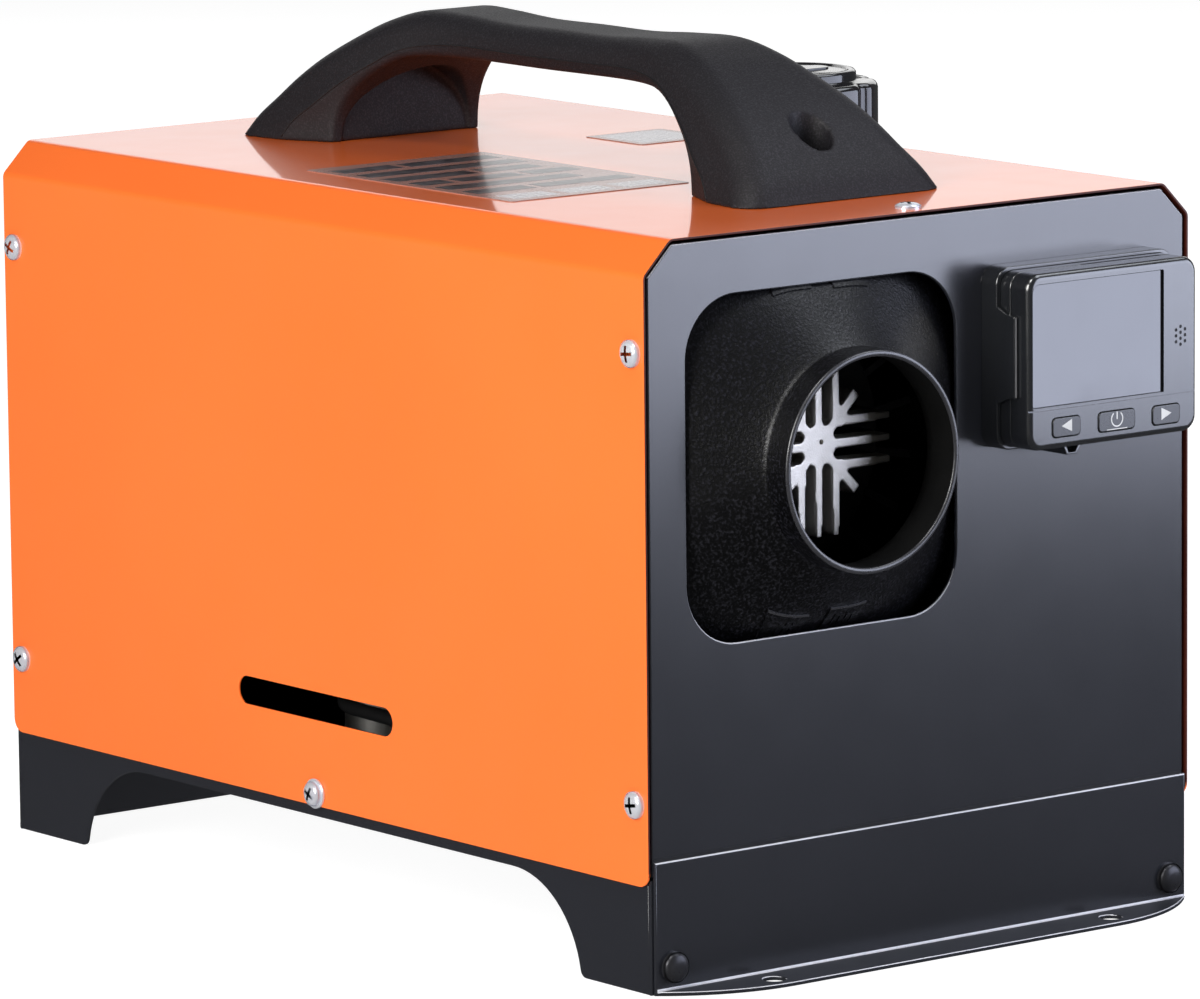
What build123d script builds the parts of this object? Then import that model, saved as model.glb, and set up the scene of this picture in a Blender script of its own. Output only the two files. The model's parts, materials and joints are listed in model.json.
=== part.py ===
# Portable diesel air heater: burner unit, fuel tank and controls in one sheet-metal case.
# Millimetres. Origin on the floor under the middle of the case, +Z up, warm-air outlet towards -Y,
# fuel tank towards +X.
from build123d import *
import os
from math import cos, pi, radians, sin, sqrt

os.makedirs("parts", exist_ok=True)

# ---- driving dimensions -------------------------------------------------------------------------
case_width = 240.0          # over the orange sides
case_length = 371.0         # front edge to rear edge of the orange sheet
case_top = 252.5            # top sheet above the floor
cover_bottom = 36.5
cover_sheet = 1.2
case_bevel = 11.4           # slanting strip along the two top edges
bend_radius = 3.5
lower_corner_radius = 5.0

panel_sheet = 1.5           # black end panels, skirts and foot plates
panel_inset = 2.0           # gap line between the orange sheet and the end panels
panel_face = 185.0          # outer face of an end panel, from the middle of the case
panel_bottom = 40.0
panel_flange = 15.5
outlet_axis = (-43.5, 174.5)    # x and z of the heater's long axis
opening_side = 117.0
opening_radius = 21.0
opening_centre = (-43.5, 173.3)

floor_height = 39.5         # upper face of the floor sheet
skirt_face = 118.6
skirt_top = 50.0
skirt_length = 367.0
arch_height = 32.3
arch_flat_half = 108.0
arch_radius = 37.2
arch_middle_y = -2.0
foot_corner_radius = 3.0

foot_plate_height = 45.0
lip_front = 204.0
lip_flat_half = 72.0
lip_end_radius = 68.0
floor_hole = (75.0, 196.0)      # x and y of the screw-down holes
floor_hole_radius = 4.0

side_screw_places = [(179.0, 215.0), (179.0, 64.0), (-179.0, 215.0), (-179.0, 64.0)]
sill_screw_height = 41.0
top_screw_y = 178.0
gland_place = (75.0, 70.0)      # x and z of the cable gland in the rear panel
foot_rivet_place = (110.3, 9.0)
pan_head_radius = 4.65
screw_radius = 2.4
top_screw_radius = 2.1
side_slot = (90.0, 10.0, 72.0)  # length, height, height of its middle above the floor

handle_bolt_y = 127.0
handle_well_radius = 7.3

cap_centre = (74.0, -27.0)
neck_radius = 23.0
cap_radius = 30.7

body_half = 70.0            # half the width and height of the heater's plastic shell
body_corner = 35.0
body_wall = 2.5
body_front = -150.0
body_rear = 150.0
spigot_radius = 37.5        # takes a 75 mm air duct
spigot_wall = 2.2
spigot_rim = -211.5

controller_width = 76.4
controller_height = 60.3
controller_centre = (66.2, 199.8)
controller_face = -207.5

exhaust_y = -15.0
combustion_air_y = 66.0
stub_radius = 12.0
stub_end = 16.0
tank_x = (33.0, 114.0)
tank_y = (-160.0, 160.0)
tank_z = (floor_height, 243.0)
line_radius = 2.5           # fuel hose, outside
line_bore = 1.7
fuel_port_y = 42.0


# ---- small helpers ------------------------------------------------------------------------------
def save(name, shape):
    export_step(shape, f"parts/{name}.step")


def group(solids):
    return Compound(children=list(solids))


def block(x_range, y_range, z_range):
    ranges = (x_range, y_range, z_range)
    middle = [(low + high) / 2 for low, high in ranges]
    size = [high - low for low, high in ranges]
    return Pos(*middle) * Box(*size)


def rod(radius, start, end):
    axis = Vector(*end) - Vector(*start)
    bottom = (Align.CENTER, Align.CENTER, Align.MIN)
    return Plane(origin=start, z_dir=axis) * Cylinder(radius, axis.length, align=bottom)


def tube(outer, inner, start, end):
    return rod(outer, start, end) - rod(inner, start, end)


def along_heater(y):
    """Point on the heater's long axis."""
    return (outlet_axis[0], y, outlet_axis[1])


def facing_front(x, y, z):
    """Drawing plane seen from the front: local x is +X, local y is +Z, extruding towards -Y."""
    return Plane(origin=(x, y, z), x_dir=(1, 0, 0), z_dir=(0, -1, 0))


def facing_right(x, y, z):
    """Drawing plane seen from the +X side: local x is +Y, local y is +Z, extruding towards +X."""
    return Plane(origin=(x, y, z), x_dir=(0, 1, 0), z_dir=(1, 0, 0))


def rounded_bar(x_range, z_range, y_range, radius):
    """Bar along Y whose section has rounded corners."""
    width = x_range[1] - x_range[0]
    height = z_range[1] - z_range[0]
    plane = facing_front(sum(x_range) / 2, y_range[1], sum(z_range) / 2)
    return extrude(plane * RectangleRounded(width, height, radius), y_range[1] - y_range[0])


def dome(radius, height):
    """Spherical cap standing on the XY plane."""
    sphere_radius = (radius**2 + height**2) / (2 * height)
    ball = Pos(0, 0, height - sphere_radius) * Sphere(sphere_radius)
    return ball & block((-radius, radius), (-radius, radius), (0, height))


def pan_screw(place, outward, head_radius, head_height, shank_radius, shank_length):
    """Cross-recessed screw whose head stands on the surface at place."""
    recess_long = head_radius * 1.15
    recess_wide = head_radius * 0.22
    head = dome(head_radius, head_height)
    for turn in (0, 90):
        head -= Pos(0, 0, head_height) * Rot(0, 0, turn) * Box(recess_long, recess_wide, head_height)
    screw = head + rod(shank_radius, (0, 0, -shank_length), (0, 0, 0))
    return Plane(origin=place, z_dir=outward) * screw


# ---- sheet-metal case ---------------------------------------------------------------------------
def case_outline(inset, bottom):
    """Section of the case, seen from the front, drawn inset inside the orange sheet."""
    half = case_width / 2 - inset
    top = case_top - inset
    bevel = case_bevel - (2 - sqrt(2)) * inset
    corners = [
        (half, bottom),
        (half, top - bevel),
        (half - bevel, top),
        (-half + bevel, top),
        (-half, top - bevel),
        (-half, bottom),
    ]
    outline = Polygon(*corners, align=None)
    bends = [corner for corner in outline.vertices() if corner.Y > bottom + 1]
    return fillet(bends, bend_radius - min(inset, 2.5))


def case_bar(inset, bottom, y_back, length):
    return extrude(facing_front(0, y_back, 0) * case_outline(inset, bottom), length)


def make_cover():
    half = case_length / 2
    sheet = case_bar(0, cover_bottom, half, case_length)
    sheet -= case_bar(cover_sheet, cover_bottom - 1, half + 1, case_length + 2)
    side = Polygon((-half, cover_bottom), (half, cover_bottom), (half, case_top + 5),
                   (-half, case_top + 5), align=None)
    lower = [corner for corner in side.vertices() if corner.Y < cover_bottom + 1]
    side = fillet(lower, lower_corner_radius)
    sheet &= extrude(facing_right(-case_width, 0, 0) * side, 2 * case_width)
    for x_sign in (-1, 1):
        for y, z in side_screw_places + [(0.0, sill_screw_height)]:
            sheet -= rod(screw_radius + 0.2, (x_sign * 110, y, z), (x_sign * 125, y, z))
    slot_length, slot_height, slot_z = side_slot
    slot = facing_right(-125, 0, slot_z) * SlotOverall(slot_length, slot_height)
    sheet -= extrude(slot, 10)
    sheet -= rod(neck_radius + 1.5, (*cap_centre, 245), (*cap_centre, 260))
    for y_sign in (-1, 1):
        sheet -= rod(3.3, (0, y_sign * handle_bolt_y, 245), (0, y_sign * handle_bolt_y, 260))
        start = (0, y_sign * top_screw_y, 245)
        sheet -= rod(top_screw_radius + 0.2, start, (0, y_sign * top_screw_y, 260))
    return sheet


def make_end_panel(y_sign):
    """Front (-1) or rear (+1) panel: a plate with a flange running back into the case."""
    plate_back = y_sign * panel_face + (panel_sheet if y_sign < 0 else 0)
    panel = case_bar(panel_inset, panel_bottom, plate_back, panel_sheet)
    flange_back = -panel_face + panel_sheet + panel_flange if y_sign < 0 else panel_face - panel_sheet
    flange_inset = panel_inset + panel_sheet
    flange = case_bar(panel_inset, skirt_top + 2, flange_back, panel_flange)
    flange -= case_bar(flange_inset, skirt_top, flange_back + 1, panel_flange + 2)
    panel += flange
    x, z = opening_centre
    hole = RectangleRounded(opening_side, opening_side, opening_radius)
    panel -= extrude(facing_front(x, y_sign * panel_face + 5, z) * hole, 10)
    for x_sign in (-1, 1):
        for y, screw_z in side_screw_places:
            if y * y_sign > 0:
                start = (x_sign * 110, y, screw_z)
                panel -= rod(screw_radius, start, (x_sign * 125, y, screw_z))
    start = (0, y_sign * top_screw_y, 240)
    return panel - rod(top_screw_radius, start, (0, y_sign * top_screw_y, 260))


def make_front_panel():
    panel = make_end_panel(-1)
    x, z = controller_centre
    for screw_x in cradle_screw_xs():
        panel -= rod(1.8, (screw_x, -195, z), (screw_x, -175, z))
    return panel - rod(5.0, (x, -195, z - 12), (x, -175, z - 12))


def make_rear_panel():
    x, z = gland_place
    return make_end_panel(1) - rod(6.1, (x, 175, z), (x, 195, z))


def make_base_tray():
    half_x = skirt_face - panel_sheet
    half_y = panel_face - panel_sheet
    floor_low = floor_height - panel_sheet
    tray = block((-half_x, half_x), (-half_y, half_y), (floor_low, floor_height))
    for sign in (-1, 1):
        edge_x = sorted((sign * half_x, sign * (half_x - panel_sheet)))
        edge_y = sorted((sign * half_y, sign * (half_y - panel_sheet)))
        tray += block(edge_x, (-half_y, half_y), (floor_height, skirt_top))
        tray += block((-half_x, half_x), edge_y, (floor_height, skirt_top))
        start = (sign * 105, 0, sill_screw_height)
        tray -= rod(screw_radius, start, (sign * 125, 0, sill_screw_height))
    for pipe_y in (exhaust_y, combustion_air_y):
        pipe_x = outlet_axis[0]
        tray -= rod(stub_radius + 2.5, (pipe_x, pipe_y, 30), (pipe_x, pipe_y, 45))
    return tray


def make_skirt(x_sign):
    """Side plate between the two ends; its feet stand on the floor either side of an arch."""
    half = skirt_length / 2
    inner = skirt_face - panel_sheet
    side = Pos(0, skirt_top / 2) * Rectangle(skirt_length, skirt_top)
    arch = SlotOverall(2 * (arch_flat_half + arch_radius), 2 * arch_radius)
    outline = side - Pos(arch_middle_y, arch_height - arch_radius) * arch
    feet_corners = outline.vertices().filter_by_position(Axis.Y, -0.01, 0.01)
    inner_corners = feet_corners.filter_by_position(Axis.X, 1 - half, half - 1)
    outline = fillet(inner_corners, foot_corner_radius)
    low_x = min(x_sign * inner, x_sign * skirt_face)
    plate = extrude(facing_right(low_x, 0, 0) * outline, panel_sheet)
    for y_sign in (-1, 1):
        x_range = sorted((x_sign * (inner - 14), x_sign * skirt_face))
        y_range = sorted((y_sign * half, y_sign * (half + panel_sheet)))
        plate += block(x_range, y_range, (0, panel_bottom - 1))
        x, z = x_sign * foot_rivet_place[0], foot_rivet_place[1]
        plate -= rod(screw_radius, (x, y_sign * (half - 5), z), (x, y_sign * (half + 5), z))
    start = (x_sign * 105, 0, sill_screw_height)
    return plate - rod(screw_radius + 0.2, start, (x_sign * 125, 0, sill_screw_height))


def make_foot_plate(y_sign):
    """Low plate across one end, with a lip on the floor for screwing the heater down."""
    half_x = case_width / 2 - panel_inset
    face = panel_face + panel_sheet
    end_y = lip_front - lip_end_radius + sqrt(lip_end_radius**2 - (half_x - lip_flat_half)**2)
    bow_x = lip_flat_half + lip_end_radius * sin(radians(20))
    bow_y = lip_front - lip_end_radius * (1 - cos(radians(20)))
    edge = Polyline((half_x, end_y), (half_x, panel_face), (-half_x, panel_face), (-half_x, end_y))
    edge += ThreePointArc((-half_x, end_y), (-bow_x, bow_y), (-lip_flat_half, lip_front))
    edge += Line((-lip_flat_half, lip_front), (lip_flat_half, lip_front))
    edge += ThreePointArc((lip_flat_half, lip_front), (bow_x, bow_y), (half_x, end_y))
    lip = extrude(make_face(edge), panel_sheet)
    plate = lip + block((-half_x, half_x), (panel_face, face), (0, foot_plate_height))
    for x_sign in (-1, 1):
        hole_x, hole_y = x_sign * floor_hole[0], floor_hole[1]
        plate -= rod(floor_hole_radius, (hole_x, hole_y, -1), (hole_x, hole_y, 5))
        rivet_x, rivet_z = x_sign * foot_rivet_place[0], foot_rivet_place[1]
        plate -= rod(screw_radius, (rivet_x, 180, rivet_z), (rivet_x, 190, rivet_z))
    return plate if y_sign > 0 else mirror(plate, about=Plane.XZ)


def make_side_screws():
    for x_sign in (-1, 1):
        for y, z in side_screw_places:
            place = (x_sign * case_width / 2, y, z)
            yield pan_screw(place, (x_sign, 0, 0), pan_head_radius, 2.7, screw_radius, 9.0)


def make_sill_screws():
    for x_sign in (-1, 1):
        place = (x_sign * (case_width / 2 + 1.0), 0, sill_screw_height)
        yield pan_screw(place, (x_sign, 0, 0), pan_head_radius - 0.4, 2.6, screw_radius, 9.0)


def make_sill_washers():
    for x_sign in (-1, 1):
        inner = (x_sign * case_width / 2, 0, sill_screw_height)
        outer = (x_sign * (case_width / 2 + 1.0), 0, sill_screw_height)
        yield tube(pan_head_radius + 0.6, screw_radius, inner, outer)


def make_top_screws():
    for y_sign in (-1, 1):
        place = (0, y_sign * top_screw_y, case_top)
        yield pan_screw(place, (0, 0, 1), pan_head_radius - 0.2, 2.2, top_screw_radius, 7.0)


def make_foot_rivets():
    face = panel_face + panel_sheet
    x, z = foot_rivet_place
    for y_sign in (-1, 1):
        for x_sign in (-1, 1):
            head = dome(5.25, 3.2) + rod(screw_radius, (0, 0, -5), (0, 0, 0))
            yield Plane(origin=(x_sign * x, y_sign * face, z), z_dir=(0, y_sign, 0)) * head


# ---- carrying handle ----------------------------------------------------------------------------
# Stations from one foot up to the middle of the grip: y and z on the outer side, y and z on the
# inner side, half widths on the outer side, at the mould's parting line and on the inner side, how
# far the parting line is from the inner side, corner radii outside and inside.
handle_stations = [
    ((147.5, 252.5), (102.4, 252.5), (45.5, 42.2, 33.0), 0.45, (9.0, 3.0)),
    ((143.0, 260.0), (101.5, 259.5), (41.2, 40.0, 32.6), 0.38, (9.5, 3.0)),
    ((136.0, 267.1), (99.2, 265.5), (37.5, 37.2, 31.7), 0.27, (10.0, 3.2)),
    ((127.5, 274.8), (95.0, 271.3), (34.4, 34.2, 30.3), 0.20, (10.0, 3.5)),
    ((116.0, 282.9), (89.0, 276.5), (31.4, 31.0, 28.4), 0.16, (10.0, 3.5)),
    ((102.0, 290.7), (82.0, 281.0), (27.2, 27.9, 26.0), 0.14, (10.0, 3.5)),
    ((88.0, 297.0), (73.0, 284.8), (23.3, 24.9, 23.6), 0.18, (9.5, 3.0)),
    ((72.0, 301.2), (62.0, 286.0), (19.9, 21.7, 20.6), 0.24, (9.0, 3.0)),
    ((52.0, 301.2), (46.0, 286.2), (17.7, 19.2, 18.0), 0.31, (8.5, 3.0)),
    ((28.0, 300.0), (25.0, 286.0), (17.2, 18.2, 16.4), 0.32, (8.0, 3.0)),
    ((0.0, 300.1), (0.0, 285.8), (17.6, 18.1, 16.0), 0.32, (8.0, 3.0)),
]
handle_web_y = 103.5        # flat back of the recess under the arch of each leg
handle_web_open = 60.0      # the recess is cut free from here towards the middle
handle_web_half = 29.0
handle_web_height = 27.0


def handle_section(station, y_sign):
    """Six-cornered section; the corners at the parting line stay sharp."""
    (outer_y, outer_z), (inner_y, inner_z), halves, parting, (outer_radius, inner_radius) = station
    outer_half, parting_half, inner_half = halves
    rise = Vector(0, y_sign * (outer_y - inner_y), outer_z - inner_z)
    middle = (0, y_sign * (outer_y + inner_y) / 2, (outer_z + inner_z) / 2)
    depth = rise.length / 2
    parting_depth = (2 * parting - 1) * depth
    plane = Plane(origin=middle, x_dir=(1, 0, 0), z_dir=Vector(1, 0, 0).cross(rise))
    right = [(inner_half, -depth), (parting_half, parting_depth), (outer_half, depth)]
    left = [(-x, y) for x, y in reversed(right)]
    outline = Polygon(*right, *left, align=None)
    outer = [corner for corner in outline.vertices() if corner.Y > depth - 0.01]
    outline = fillet(outer, outer_radius)
    inner = [corner for corner in outline.vertices() if corner.Y < 0.01 - depth]
    return plane * fillet(inner, inner_radius)


def make_handle():
    sections = [handle_section(station, 1) for station in handle_stations]
    sections += [handle_section(station, -1) for station in reversed(handle_stations[:-1])]
    handle = loft(sections)
    for y_sign in (-1, 1):
        web = Ellipse(handle_web_half, handle_web_height)
        web &= Pos(0, handle_web_height) * Rectangle(100, 2 * handle_web_height)
        web_back_y = handle_web_y if y_sign > 0 else -handle_web_open
        web_plane = facing_front(0, web_back_y, case_top - 0.1)
        handle -= extrude(web_plane * web, handle_web_y - handle_web_open)
        y = y_sign * handle_bolt_y
        handle -= rod(handle_well_radius, (0, y, case_top + 7), (0, y, 300))
        handle -= rod(3.3, (0, y, case_top - 5), (0, y, 300))
    return handle


def make_handle_bolts():
    seat = case_top + 7
    for y_sign in (-1, 1):
        y = y_sign * handle_bolt_y
        bolt = rod(5.0, (0, y, seat), (0, y, seat + 6)) + rod(3.0, (0, y, 246.0), (0, y, seat))
        key = Plane(origin=(0, y, seat + 2.5)) * RegularPolygon(2.9, 6)
        yield bolt - extrude(key, 10)


def make_handle_nuts():
    under = case_top - cover_sheet
    for y_sign in (-1, 1):
        y = y_sign * handle_bolt_y
        body = extrude(Plane(origin=(0, y, under - 5)) * RegularPolygon(5.77, 6), 5)
        yield body - rod(3.0, (0, y, 240), (0, y, 260))


def make_data_plate():
    return block((-89.0, -11.0), (-75.0, 43.0), (case_top, case_top + 0.3))


def make_small_plate():
    return block((44.0, 79.0), (21.0, 54.0), (case_top, case_top + 0.3))


def make_cable_gland():
    x, z = gland_place
    body = rod(6.0, (x, 178, z), (x, panel_face, z)) + rod(9.5, (x, panel_face, z), (x, 189, z))
    body += rod(7.5, (x, 189, z), (x, 199, z))
    body += extrude(facing_front(x, panel_face - panel_sheet, z) * RegularPolygon(10.0, 6), 4)
    return body - rod(3.6, (x, 170, z), (x, 205, z))


# ---- heater shell -------------------------------------------------------------------------------
def shell_bar(inset, y_front, y_back):
    half = body_half - inset
    x, z = outlet_axis
    return rounded_bar((x - half, x + half), (z - half, z + half), (y_front, y_back),
                       body_corner - inset)


def make_shell_half(z_sign):
    shell = shell_bar(0, body_front, body_rear)
    shell -= shell_bar(body_wall, body_front - 1, body_rear + 1)
    z = outlet_axis[1]
    z_range = (z, z + 100) if z_sign > 0 else (z - 100, z)
    shell &= block((-200, 200), (-200, 200), z_range)
    if z_sign < 0:
        x = outlet_axis[0]
        for port_y in (exhaust_y, combustion_air_y):
            shell -= rod(14.3, (x, port_y, 95), (x, port_y, 110))
        shell -= rod(4.0, (x, fuel_port_y, 95), (x, fuel_port_y, 110))
    return shell


# Hood stations from the spigot's root to the shell: y, half size, corner radius.
hood_stations = [
    (-200.0, 38.6, 38.2),
    (-197.0, 41.5, 40.0),
    (-190.0, 49.5, 44.0),
    (-182.0, 59.0, 45.0),
    (-175.0, 66.5, 41.0),
    (-168.0, 69.8, 36.0),
    (body_front, body_half, body_corner),
]


def hood_form(inset, overrun):
    x, z = outlet_axis
    sections = []
    for y, half, corner in hood_stations:
        outline = RectangleRounded(2 * (half - inset), 2 * (half - inset), corner - inset)
        sections.append(facing_front(x, y + overrun, z) * outline)
    return loft(sections, ruled=True)


def make_outlet_hood():
    hood = hood_form(0, 0)
    root = hood_stations[0][0]
    hood += rod(spigot_radius, along_heater(root + 1), along_heater(spigot_rim))
    hood -= hood_form(body_wall, 0.0)
    hood -= shell_bar(body_wall, -152, body_front + 2)
    hood -= rod(spigot_radius - spigot_wall, along_heater(root + 8), along_heater(spigot_rim - 1))
    return hood


def make_inlet_cap():
    rim_back, face_back, collar_back = 170.0, 175.0, 182.0
    grille_radius = 50.0
    cap = shell_bar(0, body_rear, rim_back) + shell_bar(3.0, rim_back, face_back)
    cap -= shell_bar(body_wall, body_rear - 1, rim_back - body_wall)
    cap += rod(grille_radius + 2, along_heater(face_back), along_heater(collar_back))
    cap -= rod(grille_radius, along_heater(rim_back - 5), along_heater(collar_back + 1))
    bars_front, bars_back = face_back, face_back + 3
    for ring_radius in (14.0, 26.0, 38.0):
        cap += tube(ring_radius, ring_radius - 2.2, along_heater(bars_front), along_heater(bars_back))
    spoke = block((12.8, grille_radius + 1), (bars_front, bars_back), (-1.1, 1.1))
    for turn in range(0, 360, 45):
        x, z = outlet_axis
        cap += Pos(x, 0, z) * Rot(0, turn, 0) * spoke
    return cap


# ---- heat exchanger and burner ------------------------------------------------------------------
cup_radius = 46.0
cup_front = -160.0
cup_back = 36.0
star_front = -184.0
star_centre = (-44.4, 177.0)    # x and z; the casting's end fins sit a little above the spigot's axis
fin_pitch = 7.5
fin_reach = 31.0
fin_root = 4.2
fin_tip = 2.6
diagonal_reach = 23.5
diagonal_thickness = 3.9
star_hub_radius = 7.4


def fin_star():
    """End fins of the casting: three fins each way from a small hub, with diagonals between them."""
    star = Circle(star_hub_radius)
    fin = Polygon((0, -fin_root / 2), (fin_reach, -fin_tip / 2), (fin_reach, fin_tip / 2),
                  (0, fin_root / 2), align=None)
    side_fin = Polygon((0, -fin_root / 2), (fin_reach - fin_pitch, -fin_tip / 2),
                       (fin_reach - fin_pitch, fin_tip / 2), (0, fin_root / 2), align=None)
    diagonal = Pos(diagonal_reach / 2, 0) * Rectangle(diagonal_reach, diagonal_thickness)
    for turn in range(0, 360, 90):
        quarter = fin + Rot(0, 0, 45) * diagonal
        quarter += Pos(fin_pitch, fin_pitch) * side_fin
        quarter += Pos(fin_pitch, fin_pitch) * Rot(0, 0, 90) * side_fin
        star += Rot(0, 0, turn) * quarter
    return star


def make_heat_exchanger():
    x, z = outlet_axis
    casting = rod(cup_radius, along_heater(cup_front), along_heater(cup_back))
    fin = block((cup_radius - 2, 60.0), (cup_front, 25.0), (-1.25, 1.25))
    for turn in range(9, 360, 18):
        casting += Pos(x, 0, z) * Rot(0, turn, 0) * fin
    star_plane = facing_front(star_centre[0], cup_front, star_centre[1])
    casting += extrude(star_plane * fin_star(), cup_front - star_front)
    casting += rod(14.0, (x, exhaust_y, z - 30), (x, exhaust_y, z - body_half))
    casting -= rod(cup_radius - 4, along_heater(cup_front + 5), along_heater(cup_back + 1))
    casting -= rod(stub_radius - 1.5, (x, exhaust_y, z - 30), (x, exhaust_y, z - body_half - 1))
    return casting


burner_back = 52.0
glow_plug_y = 45.0


def make_combustion_tube():
    """Tube inside the heat exchanger, with the burner's chamber ring at its rear end."""
    x, z = outlet_axis
    barrel = tube(30.0, 28.5, along_heater(-115), along_heater(cup_back))
    ring = tube(cup_radius, 28.5, along_heater(cup_back), along_heater(burner_back))
    ring -= rod(4.0, (x, glow_plug_y, z + 20), (x, glow_plug_y, z + 60))
    ring -= rod(line_radius, (x, fuel_port_y, z - 60), (x, fuel_port_y, z - 20))
    return barrel + ring


def make_glow_plug():
    x, z = outlet_axis
    y = glow_plug_y
    plug = rod(4.0, (x, y, z + 22), (x, y, z + 52)) + rod(5.5, (x, y, z + 46.2), (x, y, z + 50))
    return plug + rod(1.5, (x, y, z + 52), (x, y, z + 58))


def make_overheat_sensor():
    x, z = outlet_axis
    base = z + cup_radius
    return rod(5.0, (x, 5, base), (x, 5, base + 3)) + rod(3.2, (x, 5, base + 3), (x, 5, base + 6))


# ---- blower -------------------------------------------------------------------------------------
housing_radius = 48.0
impeller_space = (58.0, 72.0)
motor_span = (78.0, 116.0)
motor_radius = 22.5
shaft_radius = 4.0


def make_blower_housing():
    x, z = outlet_axis
    housing = rod(housing_radius, along_heater(burner_back), along_heater(92))
    housing += rod(14.0, (x, combustion_air_y, z - 30), (x, combustion_air_y, z - body_half))
    housing += block((x - 20, x + 20), (64, 90), (z + 30, z + housing_radius + 1))
    housing -= rod(43.0, along_heater(impeller_space[0]), along_heater(impeller_space[1]))
    housing -= rod(20.0, along_heater(burner_back - 1), along_heater(impeller_space[0] + 1))
    housing -= rod(shaft_radius + 3, along_heater(impeller_space[1] - 1), along_heater(80))
    housing -= rod(motor_radius, along_heater(motor_span[0]), along_heater(95))
    bore = stub_radius - 1.5
    return housing - rod(bore, (x, combustion_air_y, z - 35), (x, combustion_air_y, z - body_half - 1))


def make_motor():
    can = rod(motor_radius, along_heater(motor_span[0]), along_heater(motor_span[1]))
    can -= rod(motor_radius - 2, along_heater(motor_span[0] + 3), along_heater(motor_span[1] - 3))
    return can - rod(7.0, along_heater(motor_span[0] - 1), along_heater(motor_span[1] + 1))


def make_motor_bearings():
    for start, end in ((motor_span[0], motor_span[0] + 3), (motor_span[1] - 3, motor_span[1])):
        yield tube(7.0, shaft_radius + 0.05, along_heater(start), along_heater(end))


def make_rotor_shaft():
    return rod(shaft_radius, along_heater(60), along_heater(146))


def make_combustion_impeller():
    x, z = outlet_axis
    wheel = rod(39.0, along_heater(67), along_heater(70)) + rod(9.0, along_heater(60.5), along_heater(67))
    vane = block((8.0, 38.0), (60.5, 67), (-1.0, 1.0))
    for turn in range(0, 360, 30):
        wheel += Pos(x, 0, z) * Rot(0, turn, 0) * vane
    return wheel - rod(shaft_radius, along_heater(60), along_heater(71))


def make_warm_air_fan():
    x, z = outlet_axis
    fan = rod(17.0, along_heater(120), along_heater(145))
    blade = Rot(38, 0, 0) * Box(38.0, 2.2, 20.0)
    for number in range(9):
        fan += Pos(x, 132.5, z) * Rot(0, number * 40, 0) * Pos(33.0, 0, 0) * blade
    return fan - rod(shaft_radius, along_heater(119), along_heater(146))


def make_control_unit():
    x, z = outlet_axis
    low = z + housing_radius + 1
    box = rounded_bar((x - 30, x + 30), (low, low + 15), (64, 112), 3)
    return box + block((x - 12, x + 12), (112, 118), (low + 3, low + 11))


# ---- shelf and pipes under the heater -----------------------------------------------------------
shelf_top = outlet_axis[1] - body_half - 2
shelf_x = (-111.5, 25.0)
shelf_y = (-100.0, 110.0)


def make_heater_shelf():
    sheet = panel_sheet
    shelf = block(shelf_x, shelf_y, (floor_height, shelf_top))
    shelf -= block((shelf_x[0] + sheet, shelf_x[1] - sheet), (-150, 150), (0, shelf_top - sheet))
    window = Pos(0, 6) * RectangleRounded(170, shelf_top - floor_height - 34, 8)
    window_plane = facing_right(-150, sum(shelf_y) / 2, (floor_height + shelf_top) / 2)
    shelf -= extrude(window_plane * window, 300)
    for inner_x, outer_x in ((shelf_x[0], shelf_x[0] + 12), (shelf_x[1] - 12, shelf_x[1])):
        shelf += block((inner_x, outer_x), shelf_y, (floor_height, floor_height + sheet))
    x = outlet_axis[0]
    for port_y in (exhaust_y, combustion_air_y):
        shelf -= rod(14.3, (x, port_y, 90), (x, port_y, 110))
    return shelf - rod(4.0, (x, fuel_port_y, 90), (x, fuel_port_y, 110))


def make_flange_gasket():
    x = outlet_axis[0]
    gasket = block((x - 30, x + 30), (-40, 92), (shelf_top, shelf_top + 2))
    for port_y in (exhaust_y, combustion_air_y):
        gasket -= rod(14.3, (x, port_y, 90), (x, port_y, 110))
    return gasket - rod(4.0, (x, fuel_port_y, 90), (x, fuel_port_y, 110))


def make_stub_pipe(port_y):
    """Pipe from the heater's flange down through the floor, with a hose bead under the floor."""
    x = outlet_axis[0]
    top = outlet_axis[1] - body_half
    pipe = rod(stub_radius, (x, port_y, stub_end), (x, port_y, top))
    pipe += rod(stub_radius + 1.5, (x, port_y, 33), (x, port_y, 36))
    return pipe - rod(stub_radius - 1.5, (x, port_y, 0), (x, port_y, 120))


# ---- fuel system --------------------------------------------------------------------------------
pump_axis = (0.0, 58.0)         # x and z of the pump's and the filter's long axis
pickup_place = (33.0, 120.0, 58.0)


def on_pump(y):
    return (pump_axis[0], y, pump_axis[1])


def make_fuel_tank():
    tank = block(tank_x, tank_y, tank_z)
    tank = fillet(tank.edges(), 12.0)
    tank += rod(neck_radius, (*cap_centre, tank_z[1] - 3), (*cap_centre, 262))
    wall = 2.5
    ranges = [(low + wall, high - wall) for low, high in (tank_x, tank_y, tank_z)]
    tank -= fillet(block(*ranges).edges(), 9.5)
    tank -= rod(neck_radius - 3, (*cap_centre, tank_z[1] - 6), (*cap_centre, 270))
    x, y, z = pickup_place
    return tank - rod(3.5, (x - 2, y, z), (x + 5, y, z))


def make_fuel_pickup():
    x, y, z = pickup_place
    fitting = rod(6.5, (x, y, z), (x - 3, y, z)) + rod(3.5, (x, y, z), (x + 12, y, z))
    fitting += rod(line_bore, (x - 3, y, z), (x - 11, y, z))
    return fitting - rod(1.0, (x - 20, y, z), (x + 20, y, z))


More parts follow.
